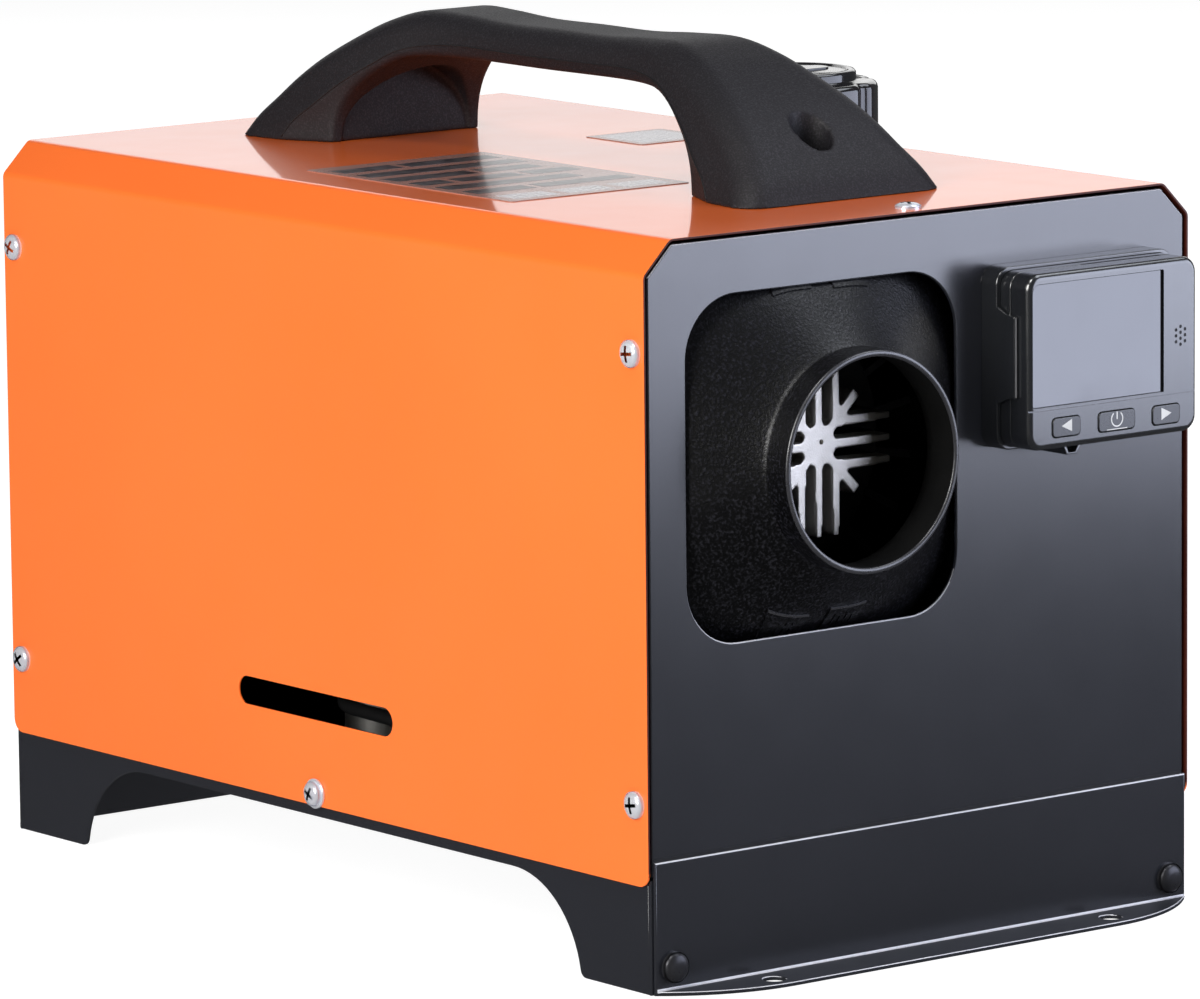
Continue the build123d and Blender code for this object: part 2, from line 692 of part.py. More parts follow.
def make_fuel_filter():
    body = rod(11.0, on_pump(50), on_pump(84)) + rod(line_bore, on_pump(40), on_pump(94))
    return body - rod(1.0, on_pump(30), on_pump(100))


def make_pump_body():
    body = rod(14.0, on_pump(-64), on_pump(12)) + rod(line_bore, on_pump(-76), on_pump(24))
    body -= rod(9.05, on_pump(-46), on_pump(-8))
    return body - rod(1.0, on_pump(-80), on_pump(30))


def make_pump_plunger():
    return tube(9.0, 1.5, on_pump(-45), on_pump(-12))


def make_pump_mount():
    ring = tube(18.0, 14.0, on_pump(-34), on_pump(-14))
    foot = block((-12, 12), (-34, -14), (floor_height, pump_axis[1] - 16))
    return ring + foot - rod(14.0, on_pump(-40), on_pump(-10))


def hose(points, radii):
    """Fuel hose: straight runs joined by tangent arcs, swept as a tube with a bore."""
    route = FilletPolyline(*points, radius=radii)
    start = Vector(*points[0])
    towards = Vector(*points[1]) - start
    plane = Plane(origin=start, z_dir=towards)
    ring = plane * (Circle(line_radius) - Circle(line_bore))
    return sweep(ring, path=route)


def make_suction_line():
    x, y, z = pickup_place
    return hose([(x - 3, y, z), (0, y, z), (0, 84, z)], 22.0)


def make_filter_line():
    return tube(line_radius, line_bore, on_pump(12), on_pump(50))


def make_delivery_line():
    x = outlet_axis[0]
    burner_port_z = outlet_axis[1] - 40
    points = [on_pump(-64), on_pump(-110), (-86, -110, 60), (-86, fuel_port_y, 64),
              (x, fuel_port_y, 68), (x, fuel_port_y, burner_port_z)]
    return hose(points, 20.0)


def make_cap_gasket():
    return tube(neck_radius, neck_radius - 4, (*cap_centre, 262), (*cap_centre, 264))


def make_filler_cap():
    low, gasket_top, shoulder, top = 255.0, 264.0, 277.6, 281.6
    disc_radius = 23.0
    cap = rod(cap_radius, (*cap_centre, low), (*cap_centre, shoulder))
    cap = fillet(cap.edges().sort_by(Axis.Z)[-1:], 2.5)
    for turn in range(0, 360, 45):
        groove_x = cap_centre[0] + (cap_radius + 1.2) * cos(radians(turn + 20))
        groove_y = cap_centre[1] + (cap_radius + 1.2) * sin(radians(turn + 20))
        cap -= rod(3.2, (groove_x, groove_y, low - 1), (groove_x, groove_y, shoulder + 1))
    cap += rod(disc_radius, (*cap_centre, shoulder - 1), (*cap_centre, top))
    return cap - rod(neck_radius + 0.5, (*cap_centre, low - 1), (*cap_centre, gasket_top))


# ---- display controller -------------------------------------------------------------------------
left_key = (44.6, 177.0, 12.4, 6.5)     # middle x and z, width, height
power_key = (67.3, 176.8, 16.4, 6.7)
right_key = (89.8, 176.6, 12.4, 6.5)
key_travel = 0.8
window_x = (29.6, 89.0)
window_z = (184.4, 226.6)
speaker_centre = (96.6, 203.15)
speaker_pitch = 2.05
speaker_hole_radius = 0.5
speaker_columns = {-1: (-1, 0, 1), 0: (-1.5, -0.5, 0.5, 1.5), 1: (-1, 0, 1)}    # holes, in pitches


def controller_bar(inset, y_front, y_back, radius):
    x, z = controller_centre
    half_x = controller_width / 2 - inset
    half_z = controller_height / 2 - inset
    return rounded_bar((x - half_x, x + half_x), (z - half_z, z + half_z), (y_front, y_back), radius)


def make_controller_front():
    back = controller_face + 9
    shell = controller_bar(0, controller_face, back, 5.0)
    rim = shell.faces().sort_by(Axis.Y)[0].edges()
    shell = fillet(rim, 1.6)
    shell -= controller_bar(2.0, controller_face + 2.2, back + 1, 3.5)
    shell -= block(window_x, (controller_face - 1, controller_face + 1.0), window_z)
    view = [(low + 2.5, high - 2.5) for low, high in (window_x, window_z)]
    shell -= block(view[0], (controller_face - 1, controller_face + 5), view[1])
    for x, z, width, height in (left_key, power_key, right_key):
        opening = RectangleRounded(width + 0.7, height + 0.7, 1.9)
        shell -= extrude(facing_front(x, controller_face + 5, z) * opening, 8)
    for column, rows in speaker_columns.items():
        for row in rows:
            x = speaker_centre[0] + column * speaker_pitch
            z = speaker_centre[1] + row * speaker_pitch
            shell -= rod(speaker_hole_radius, (x, controller_face - 1, z), (x, controller_face + 5, z))
    return shell


def make_controller_back():
    front, back = controller_face + 9, controller_face + 17.5
    shell = controller_bar(0, front, back, 5.0)
    rim = shell.faces().sort_by(Axis.Y)[-1].edges()
    shell = fillet(rim, 3.0)
    return shell - controller_bar(2.0, front - 1, back - 2.2, 3.5)


def make_display_window():
    return block((window_x[0] + 0.2, window_x[1] - 0.2), (controller_face + 0.1, controller_face + 1.0),
                 (window_z[0] + 0.2, window_z[1] - 0.2))


def make_display_module():
    return block((window_x[0] + 3, window_x[1] - 3), (controller_face + 2.2, controller_face + 6.0),
                 (window_z[0] + 3, window_z[1] - 3))


def make_key(key):
    """Key cap: proud of the face by half a millimetre, with a flange that keeps it in the case."""
    x, z, width, height = key
    front = controller_face - 0.5
    cap = extrude(facing_front(x, controller_face + 3.0, z) * RectangleRounded(width, height, 1.6),
                  controller_face + 3.0 - front)
    flange = RectangleRounded(width + 2.4, height, 1.6)
    return cap + extrude(facing_front(x, controller_face + 3.3, z) * flange, 0.9)


def make_button_board():
    x, z = controller_centre
    board = controller_bar(3.0, controller_face + 6.0, controller_face + 7.4, 2.0)
    for key_x, key_z, _, _ in (left_key, power_key, right_key):
        switch_back = controller_face + 6.0
        switch_front = controller_face + 3.3 + key_travel + 0.3
        board += block((key_x - 3, key_x + 3), (switch_front, switch_back), (key_z - 2.5, key_z + 2.5))
    return board


def make_buzzer():
    x, z = speaker_centre
    return rod(5.0, (x, controller_face + 3.0, z), (x, controller_face + 6.0, z))


cradle_x = (26.3, 106.1)
cradle_z = (168.6, 231.2)
cradle_rim = -193.0         # front edge of the rim round the controller
cradle_face = -190.0        # seat of the controller's back
cradle_clearance = 0.2
side_tab_front = -202.0
side_tab_z = (187.5, 215.5)
side_tab_flare = 2.6        # height gained by the hollow curve from a tab's front edge to the rim
lower_tab = ((49.1, 169.6), (57.4, 169.6), (55.2, 165.9), (50.6, 165.9))
lower_tab_front = -201.0


def cradle_screw_xs():
    return (controller_centre[0] - 22, controller_centre[0] + 22)


def side_tab_outline():
    """Tab seen from the side: a straight front edge, with hollow curves running back to the rim."""
    low, high = side_tab_z
    front, rim, back = side_tab_front, cradle_rim - 0.5, cradle_face
    edge = Line((front, low), (front, high))
    edge += TangentArc((front, high), (rim, high + side_tab_flare), tangent=(1, 0))
    edge += Polyline((rim, high + side_tab_flare), (back, high + side_tab_flare),
                     (back, low - side_tab_flare), (rim, low - side_tab_flare))
    edge += TangentArc((front, low), (rim, low - side_tab_flare), tangent=(1, 0))
    return make_face(edge)


def make_controller_cradle():
    """Bracket screwed to the front panel: a rim round the controller, side tabs and a lower tab."""
    x, z = controller_centre
    cradle = rounded_bar(cradle_x, cradle_z, (cradle_rim, -panel_face), 6.0)
    cradle += extrude(facing_right(cradle_x[0], 0, 0) * side_tab_outline(), cradle_x[1] - cradle_x[0])
    tab = Polygon(*reversed(lower_tab), align=None)
    cradle += extrude(facing_front(0, -panel_face, 0) * tab, -panel_face - lower_tab_front)
    cradle -= controller_bar(-cradle_clearance, -210, cradle_face, 5.0 + cradle_clearance)
    cradle -= rod(6.0, (x, -195, z - 12), (x, -180, z - 12))
    for screw_x in cradle_screw_xs():
        cradle -= rod(1.9, (screw_x, -195, z), (screw_x, -180, z))
        cradle -= rod(3.5, (screw_x, -195, z), (screw_x, cradle_face + 2, z))
    return cradle


def make_cradle_screws():
    z = controller_centre[1]
    for x in cradle_screw_xs():
        head = rod(3.3, (x, cradle_face + 0.2, z), (x, cradle_face + 2, z))
        yield head + rod(1.8, (x, cradle_face + 1, z), (x, -178.0, z))


# ---- all pieces ---------------------------------------------------------------------------------
pieces = {
    "cover": make_cover(),
    "front_panel": make_front_panel(),
    "rear_panel": make_rear_panel(),
    "base_tray": make_base_tray(),
    "left_skirt": make_skirt(-1),
    "right_skirt": make_skirt(1),
    "front_foot_plate": make_foot_plate(-1),
    "rear_foot_plate": make_foot_plate(1),
    "side_screws": group(make_side_screws()),
    "sill_screws": group(make_sill_screws()),
    "sill_washers": group(make_sill_washers()),
    "top_screws": group(make_top_screws()),
    "foot_rivets": group(make_foot_rivets()),
    "handle": make_handle(),
    "handle_bolts": group(make_handle_bolts()),
    "handle_nuts": group(make_handle_nuts()),
    "data_plate": make_data_plate(),
    "small_plate": make_small_plate(),
    "cable_gland": make_cable_gland(),
    "upper_shell": make_shell_half(1),
    "lower_shell": make_shell_half(-1),
    "outlet_hood": make_outlet_hood(),
    "inlet_cap": make_inlet_cap(),
    "heat_exchanger": make_heat_exchanger(),
    "combustion_tube": make_combustion_tube(),
    "glow_plug": make_glow_plug(),
    "overheat_sensor": make_overheat_sensor(),
    "blower_housing": make_blower_housing(),
    "motor": make_motor(),
    "motor_bearings": group(make_motor_bearings()),
    "rotor_shaft": make_rotor_shaft(),
    "combustion_impeller": make_combustion_impeller(),
    "warm_air_fan": make_warm_air_fan(),
    "control_unit": make_control_unit(),
    "heater_shelf": make_heater_shelf(),
    "flange_gasket": make_flange_gasket(),
    "exhaust_pipe": make_stub_pipe(exhaust_y),
    "combustion_air_pipe": make_stub_pipe(combustion_air_y),
    "fuel_tank": make_fuel_tank(),
    "fuel_pickup": make_fuel_pickup(),
    "fuel_filter": make_fuel_filter(),
    "pump_body": make_pump_body(),
    "pump_plunger": make_pump_plunger(),
    "pump_mount": make_pump_mount(),
    "suction_line": make_suction_line(),
    "filter_line": make_filter_line(),
    "delivery_line": make_delivery_line(),
    "cap_gasket": make_cap_gasket(),
    "filler_cap": make_filler_cap(),
    "controller_cradle": make_controller_cradle(),
    "cradle_screws": group(make_cradle_screws()),
    "controller_back": make_controller_back(),
    "controller_front": make_controller_front(),
    "display_window": make_display_window(),
    "display_module": make_display_module(),
    "left_button": make_key(left_key),
    "power_button": make_key(power_key),
    "right_button": make_key(right_key),
    "button_board": make_button_board(),
    "buzzer": make_buzzer(),
}
for name, shape in pieces.items():
    save(name, shape)
print(len(pieces), "pieces written")
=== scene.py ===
import bpy
import bmesh
import json
from math import asin, atan2, copysign, cos, degrees, hypot, pi, radians, sin, sqrt, tan
from mathutils import Matrix, Vector

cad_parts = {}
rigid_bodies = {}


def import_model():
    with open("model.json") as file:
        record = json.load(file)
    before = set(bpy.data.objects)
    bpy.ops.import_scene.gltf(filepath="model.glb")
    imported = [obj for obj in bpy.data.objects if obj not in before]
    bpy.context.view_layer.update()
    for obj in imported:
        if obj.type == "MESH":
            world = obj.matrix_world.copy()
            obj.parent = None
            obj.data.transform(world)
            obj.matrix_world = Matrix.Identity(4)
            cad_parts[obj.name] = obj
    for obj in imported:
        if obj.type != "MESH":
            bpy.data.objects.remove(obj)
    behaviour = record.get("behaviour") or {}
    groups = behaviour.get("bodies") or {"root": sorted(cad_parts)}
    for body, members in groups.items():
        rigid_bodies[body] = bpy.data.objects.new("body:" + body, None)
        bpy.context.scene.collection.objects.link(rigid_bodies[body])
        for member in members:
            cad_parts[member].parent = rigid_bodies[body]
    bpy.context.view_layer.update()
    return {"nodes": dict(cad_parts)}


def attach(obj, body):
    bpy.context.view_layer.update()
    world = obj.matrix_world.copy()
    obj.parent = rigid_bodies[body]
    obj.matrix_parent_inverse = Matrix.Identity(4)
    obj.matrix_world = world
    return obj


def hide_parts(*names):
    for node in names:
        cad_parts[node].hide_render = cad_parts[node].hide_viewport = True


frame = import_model()
nodes = frame["nodes"]
scene = bpy.context.scene
mm = 0.001
print("frame loaded:", len(nodes), "nodes")


class Sizes(dict):
    # editable values of one piece, in millimetres, read as s.width
    __getattr__ = dict.__getitem__


def addObject(name, data):
    obj = bpy.data.objects.new(name, data)
    scene.collection.objects.link(obj)
    return obj


def outward(mesh):
    work = bmesh.new()
    work.from_mesh(mesh)
    bmesh.ops.remove_doubles(work, verts=work.verts, dist=1e-6)
    bmesh.ops.dissolve_degenerate(work, edges=work.edges, dist=1e-7)
    bmesh.ops.recalc_face_normals(work, faces=work.faces)
    work.to_mesh(mesh)
    work.free()


def meshOf(name, points, faces):
    mesh = bpy.data.meshes.new(name)
    mesh.from_pydata([Vector(p) * mm for p in points], [], faces)
    outward(mesh)
    return addObject(name, mesh)


def grid(rows, columns, closedRows, closedColumns):
    # faces between neighbouring rows of points
    faces = []
    for i in range(rows if closedRows else rows - 1):
        a, b = i * columns, (i + 1) % rows * columns
        for j in range(columns if closedColumns else columns - 1):
            k = (j + 1) % columns
            faces.append((a + j, a + k, b + k, b + j))
    return faces


def loft(name, rings, closed=False):
    count, last = len(rings[0]), (len(rings) - 1) * len(rings[0])
    faces = grid(len(rings), count, closed, True)
    if not closed:
        faces += [tuple(range(count)), tuple(range(last, last + count))]
    return meshOf(name, [p for ring in rings for p in ring], faces)


def lathe(name, profile, centre, axis="Z", steps=96, closed=True):
    # profile: (radius, height) points; a closed profile makes a ring or tube
    points = []
    for i in range(steps):
        turn = 2 * pi * i / steps
        for radius, height in profile:
            u, v = radius * cos(turn), radius * sin(turn)
            local = {"Z": (u, v, height), "Y": (u, height, v), "X": (height, u, v)}[axis]
            points.append(Vector(centre) + Vector(local))
    return meshOf(name, points, grid(steps, len(profile), True, closed))


def arc(cx, cy, radius, start, stop, steps):
    # points along part of a circle, between two angles in degrees
    turns = [radians(start + (stop - start) * i / steps) for i in range(steps + 1)]
    return [(cx + radius * cos(t), cy + radius * sin(t)) for t in turns]


def circlePoints(cx, cy, radius, count=40):
    return arc(cx, cy, radius, 0, 360, count)[:-1]


def rectangle(u0, u1, v0, v1):
    return [(u0, v0), (u1, v0), (u1, v1), (u0, v1)]


def roundedRing(halfWidth, halfHeight, radius, perCorner=8):
    radius = max(min(radius, halfWidth, halfHeight), 0.01)
    ring = []
    for quarter, (sx, sy) in enumerate(((1, 1), (-1, 1), (-1, -1), (1, -1))):
        cx, cy = sx * (halfWidth - radius), sy * (halfHeight - radius)
        ring += arc(cx, cy, radius, 90 * quarter, 90 * quarter + 90, perCorner)
    return ring


def roundCorner(before, corner, after, radius, steps):
    # points of a rounded corner between two straight runs
    corner = Vector(corner)
    a, b = (Vector(before) - corner).normalized(), (Vector(after) - corner).normalized()
    half = a.angle(b) / 2
    centre = corner + (a + b).normalized() * radius / sin(half)
    start, stop = (corner + side * (radius / tan(half)) - centre for side in (a, b))
    sweep = start.angle(stop) * (1 if start.cross(stop) > 0 else -1)
    turns = [sweep * i / steps for i in range(steps + 1)]
    return [(centre.x + (start.x * cos(t) - start.y * sin(t)),
             centre.y + (start.x * sin(t) + start.y * cos(t))) for t in turns]


def filletedRing(corners, perCorner):
    # corners: (point, radius) in order; a corner of radius 0 stays one sharp point
    ring = []
    for i, (corner, radius) in enumerate(corners):
        before, after = corners[i - 1][0], corners[(i + 1) % len(corners)][0]
        ring += roundCorner(before, corner, after, radius, perCorner) if radius else [tuple(corner)]
    return ring


def roundedBox(name, centre, width, height, yRange, radius, frontFillet=0.0, backFillet=0.0):
    # box seen from the front, its corners rounded and its front and back edges filleted
    sections = []
    for fillet, edge, into in ((frontFillet, yRange[0], 1), (backFillet, yRange[1], -1)):
        turns = [radians(15 * i) for i in range(7)] if fillet else [pi / 2]
        rows = [(edge + into * fillet * (1 - cos(t)), fillet * (1 - sin(t))) for t in turns]
        sections += rows[::into]
    rings = []
    for y, inset in sections:
        ring = roundedRing(width / 2 - inset, height / 2 - inset, radius - inset)
        rings.append([(centre[0] + u, y, centre[1] + v) for u, v in ring])
    return loft(name, rings)


def prism(name, points, low, high, axis="Y"):
    # order of the values (u, v, height) as x, y and z
    order = {"X": (2, 0, 1), "Y": (0, 2, 1), "Z": (0, 1, 2)}[axis]
    return loft(name, [[tuple((u, v, w)[k] for k in order) for u, v in points] for w in (low, high)])


def evaluated(obj):
    bpy.context.view_layer.update()
    return bpy.data.meshes.new_from_object(obj.evaluated_get(bpy.context.evaluated_depsgraph_get()))


def bakeModifiers(obj):
    old, obj.data = obj.data, evaluated(obj)
    obj.modifiers.clear()
    if old.users == 0:
        bpy.data.meshes.remove(old)
    return obj


def cut(obj, cutters):
    for cutter in cutters:
        boolean = obj.modifiers.new("cut", "BOOLEAN")
        boolean.operation, boolean.object, boolean.solver = "DIFFERENCE", cutter, "EXACT"
    bakeModifiers(obj)
    for cutter in cutters:
        bpy.data.objects.remove(cutter)
    return obj


def softenEdges(obj, width, segments=2, angle=35):
    bevel = obj.modifiers.new("edges", "BEVEL")
    bevel.width, bevel.segments = width * mm, segments
    bevel.limit_method, bevel.angle_limit = "ANGLE", radians(angle)
    return bakeModifiers(obj)


def smoothShade(obj, angle=38):
    obj.data.shade_smooth()
    obj.data.set_sharp_from_angle(angle=radians(angle))
    obj.modifiers.new("normals", "WEIGHTED_NORMAL").keep_sharp = True
    return bakeModifiers(obj)


def castSkin(obj, voxel, rounds):
    # one closed skin over joined forms, its edges worn soft
    remesh = obj.modifiers.new("skin", "REMESH")
    remesh.mode, remesh.voxel_size = "VOXEL", voxel * mm
    relax = obj.modifiers.new("relax", "SMOOTH")
    relax.factor, relax.iterations = 0.5, rounds
    return bakeModifiers(obj)


def join(name, parts):
    # one mesh from several, keeping each part's material
    materials, work = [], bmesh.new()
    for part in parts:
        offset = len(work.faces)
        work.from_mesh(part.data)
        work.faces.ensure_lookup_table()
        own = list(part.data.materials) or [None]
        for face in work.faces[offset:]:
            material = own[min(face.material_index, len(own) - 1)]
            if material not in materials:
                materials.append(material)
            face.material_index = materials.index(material)
    mesh = bpy.data.meshes.new(name)
    work.to_mesh(mesh)
    work.free()
    for material in materials:
        mesh.materials.append(material)
    for part in parts:
        bpy.data.objects.remove(part)
    return addObject(name, mesh)


def paint(obj, material):
    obj.data.materials.clear()
    obj.data.materials.append(material)
    return obj


def shifted(obj, offset):
    obj.data.transform(Matrix.Translation(Vector(offset) * mm))
    return obj


def curveMesh(name, shapes, closed, **settings):
    # mesh of the curves through these points, in metres
    curve = bpy.data.curves.new(name, "CURVE")
    for key, value in settings.items():
        setattr(curve, key, value)
    for shape in shapes:
        spline = curve.splines.new("POLY")
        spline.points.add(len(shape) - 1)
        for point, place in zip(spline.points, shape):
            point.co = (*place, 1)
        spline.use_cyclic_u = closed
    line = addObject(name + "Line", curve)
    mesh = evaluated(line)
    bpy.data.objects.remove(line)
    return mesh


def plate(name, outlines, thickness, place, edge=0.3, resolution=2):
    # flat sheet from closed outlines (the first is the border, the others are holes), edges rounded
    shapes = [[(u * mm, v * mm, 0) for u, v in outline] for outline in outlines]
    mesh = curveMesh(name, shapes, True, dimensions="2D", fill_mode="BOTH",
                     extrude=(thickness / 2 - edge) * mm, bevel_depth=edge * mm, bevel_resolution=resolution,
                     offset=-edge * mm)
    mesh.transform(place)
    outward(mesh)
    mesh.materials.clear()
    return addObject(name, mesh)


def facingFront(y):
    # local x is +X, local y is +Z, thickness about this y
    return Matrix(((1, 0, 0, 0), (0, 0, -1, y * mm), (0, 1, 0, 0), (0, 0, 0, 1)))


def facingSide(x):
    return Matrix(((0, 0, 1, x * mm), (1, 0, 0, 0), (0, 1, 0, 0), (0, 0, 0, 1)))


def paintHighlightEdges(obj):
    # painted highlight: the rounded sheet edges that face up and along the case get a light grey, standing
    # in for the highlight they catch
    obj.data.materials.append(paintedHighlightEdge)
    for face in obj.data.polygons:
        if face.normal.z > 0.3 and abs(face.normal.y) > 0.3:
            face.material_index = 1
    return obj


def finished(obj, node, body="case"):
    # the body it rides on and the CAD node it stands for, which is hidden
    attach(obj, body)
    if node:
        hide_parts(node)


def feed(tree, socket, value):
    # link a node's input, or set it
    if isinstance(value, bpy.types.NodeSocket):
        tree.links.new(value, socket)
    else:
        socket.default_value = (*value, 1) if socket.type == "RGBA" else value


def addNode(tree, kind, inputs, **settings):
    node = tree.nodes.new(kind)
    for key, value in settings.items():
        setattr(node, key, value)
    for key, value in inputs.items():
        feed(tree, node.inputs[key], value)
    return node


class Shader:
    # a short way to add and link shader nodes
    def __init__(self, name):
        self.material = bpy.data.materials.new(name)
        self.material.use_nodes = True
        self.tree = self.material.node_tree
        self.surface = self.tree.nodes["Principled BSDF"]
        self.coords = self.tree.nodes.new("ShaderNodeTexCoord").outputs["Object"]

    def stretched(self, scale):
        return addNode(self.tree, "ShaderNodeMapping",
                       {"Vector": self.coords, "Scale": scale}).outputs["Vector"]

    def noise(self, scale, detail=3.0, roughness=0.5, vector=None):
        inputs = {"Vector": vector or self.coords, "Scale": scale, "Detail": detail, "Roughness": roughness}
        return addNode(self.tree, "ShaderNodeTexNoise", inputs).outputs["Fac"]

    def remap(self, value, fromLow, fromHigh, toLow=0, toHigh=1):
        inputs = {"Value": value, "From Min": fromLow, "From Max": fromHigh, "To Min": toLow,
                  "To Max": toHigh}
        return addNode(self.tree, "ShaderNodeMapRange", inputs).outputs["Result"]

    def blend(self, factor, colourA, colourB):
        inputs = {0: factor, 6: colourA, 7: colourB}
        return addNode(self.tree, "ShaderNodeMix", inputs, data_type="RGBA").outputs[2]

    def bump(self, height, strength, distance):
        inputs = {"Height": height, "Strength": strength, "Distance": distance * mm}
        return addNode(self.tree, "ShaderNodeBump", inputs).outputs["Normal"]

    def put(self, **sockets):
        names = {"colour": "Base Color", "rough": "Roughness", "normal": "Normal", "metal": "Metallic",
                 "coat": "Coat Weight", "coatRough": "Coat Roughness", "specular": "Specular IOR Level",
                 "emission": "Emission Color", "emissionPower": "Emission Strength"}
        for key, value in sockets.items():
            feed(self.tree, self.surface.inputs[names[key]], value)
        return self.material


def finish(name, colour, shade, rough, spread, bump=(900, 0.02, 0.4), patch=14, metal=0.0, coat=(0.0, 0.05),
           specular=0.5):
    # colour drifts to shade in broad patches; bump is a fine grain: scale, height and strength
    shader = Shader(name)
    mixed = shader.blend(shader.remap(shader.noise(patch, 3), 0.35, 0.65), colour, shade)
    roughness = shader.remap(shader.noise(patch * 6, 4), 0.3, 0.7, rough - spread, rough + spread)
    normal = shader.bump(shader.noise(bump[0], 2, 0.6), bump[2], bump[1])
    return shader.put(colour=mixed, rough=roughness, normal=normal, metal=metal, coat=coat[0],
                      coatRough=coat[1], specular=specular)


def textured(name, colour, speck, rough, grain, grainHeight, specular):
    # moulded grain: light specks on raised dots
    shader = Shader(name)
    fine = shader.noise(grain, 2, 0.6)
    mixed = shader.blend(shader.remap(fine, 0.50, 0.72), colour, speck)
    roughness = shader.remap(fine, 0.3, 0.7, rough + 0.08, rough - 0.08)
    return shader.put(colour=mixed, rough=roughness, normal=shader.bump(fine, 1.0, grainHeight),
                      specular=specular)


def brushed(name, colour, shade, rough, stretch):
    # fine drawn or turned lines along one axis
    shader = Shader(name)
    drawn = shader.noise(900, 3, 0.6, shader.stretched(stretch))
    mixed = shader.blend(shader.remap(drawn, 0.3, 0.7), colour, shade)
    roughness = shader.remap(drawn, 0.3, 0.7, rough - 0.07, rough + 0.07)
    return shader.put(colour=mixed, rough=roughness, metal=1.0, normal=shader.bump(drawn, 0.25, 0.02))


orangePaint = finish("orangePowderCoat", (0.98, 0.176, 0.026), (0.95, 0.166, 0.023), 0.32, 0.02,
                     (650, 0.012, 0.22), 7, coat=(0.8, 0.05))
blackPaint = finish("blackPowderCoat", (0.014, 0.015, 0.020), (0.0125, 0.0135, 0.018), 0.24, 0.012,
                    (1400, 0.02, 0.25), 9, coat=(1.0, 0.24), specular=0.7)
# painted shade: dark maroon for the cover's cut edges and inside, where they lie in shadow
coverPaintedShade = finish("coverPaintedShadeMaroon", (0.075, 0.012, 0.006), (0.055, 0.009, 0.005), 0.45, 0.03, patch=40,
                    specular=0.3)
# painted highlight: light grey for the bright line along the front of the cradle's side tabs
tabPaintedHighlight = finish("tabFrontPaintedHighlight", (0.20, 0.20, 0.21), (0.15, 0.15, 0.16), 0.35, 0.06, patch=60)
# painted highlight: light grey for sheet edges and bends that catch the light
paintedHighlightEdge = finish("edgePaintedHighlight", (0.62, 0.62, 0.65), (0.54, 0.54, 0.57), 0.28, 0.04, patch=60,
                   coat=(1.0, 0.05))
handlePlastic = textured("handlePlastic", (0.011, 0.010, 0.012), (0.027, 0.025, 0.030), 0.56, 1500, 0.07,
                         0.28)
shellPlastic = textured("texturedShellPlastic", (0.0008, 0.0008, 0.0011), (0.016, 0.016, 0.021), 0.38, 1000,
                        0.18, 0.36)
lipPaint = finish("footLipPaint", (0.012, 0.013, 0.017), (0.010, 0.011, 0.015), 0.55, 0.03,
                  (1400, 0.02, 0.4), 9, specular=0.3)
# painted shade: near black for the inside of the spigot's bore
borePaintedShade = finish("borePaintedShadeBlack", (0.004, 0.004, 0.004), (0.006, 0.006, 0.006), 0.6, 0.05, patch=60,
                   specular=0.1)
# painted highlight: a lighter copy of the black moulded plastic for the spigot lip and the pads' upper edges
paintedHighlightPlastic = finish("rimPaintedHighlight", (0.030, 0.030, 0.034), (0.024, 0.024, 0.028), 0.30, 0.05,
                    (1800, 0.02, 0.4), 60, specular=1.0)
casePlastic = finish("controllerPlastic", (0.010, 0.011, 0.013), (0.009, 0.010, 0.012), 0.24, 0.012,
                     (2400, 0.012, 0.3), 40, coat=(1.0, 0.22), specular=1.0)
keyPlastic = finish("keyPlastic", (0.012, 0.013, 0.015), (0.010, 0.011, 0.013), 0.28, 0.012,
                    (2400, 0.012, 0.3), 50, coat=(0.5, 0.26), specular=0.8)
capPlastic = finish("glossCapPlastic", (0.010, 0.010, 0.011), (0.013, 0.013, 0.014), 0.12, 0.04,
                    (500, 0.01, 0.15), 30, coat=(0.5, 0.03))
sealRubber = finish("sealRubber", (0.016, 0.016, 0.016), (0.022, 0.022, 0.022), 0.62, 0.08,
                    (1600, 0.02, 0.4), 50)
glandNylon = finish("glandNylon", (0.020, 0.020, 0.021), (0.027, 0.027, 0.028), 0.45, 0.06,
                    (1400, 0.02, 0.4), 60)
castAluminium = finish("castAluminium", (0.66, 0.645, 0.615), (0.56, 0.545, 0.52), 0.52, 0.05,
                       (1500, 0.12, 0.6), 60, 1.0)
starCasting = finish("blastedCasting", (0.90, 0.87, 0.81), (0.82, 0.79, 0.73), 0.46, 0.05, (1500, 0.12, 0.6),
                     60, 1.0)
# painted shade: a dark copy of the casting for the parts behind the star, which lie in shadow deep in the
# outlet
castingPaintedShade = finish("castingPaintedShade", (0.055, 0.055, 0.058), (0.035, 0.035, 0.037), 0.55, 0.08,
                       (900, 0.10, 0.5), 60, 0.8)
zincSteel = finish("zincPlatedSteel", (0.80, 0.82, 0.88), (0.70, 0.72, 0.79), 0.22, 0.04, (700, 0.01, 0.1),
                   90, 0.5)
blackSteel = finish("blackenedSteel", (0.030, 0.030, 0.034), (0.045, 0.045, 0.050), 0.34, 0.07,
                    (1500, 0.02, 0.4), 200, 0.6)
drawnSteel = brushed("drawnSteel", (0.55, 0.54, 0.52), (0.40, 0.39, 0.37), 0.32, (1, 1, 0.03))
groundSteel = brushed("groundSteel", (0.66, 0.67, 0.69), (0.52, 0.53, 0.55), 0.22, (0.03, 1, 1))
brassMetal = finish("turnedBrass", (0.70, 0.52, 0.24), (0.60, 0.42, 0.18), 0.30, 0.07, patch=120, metal=1.0)
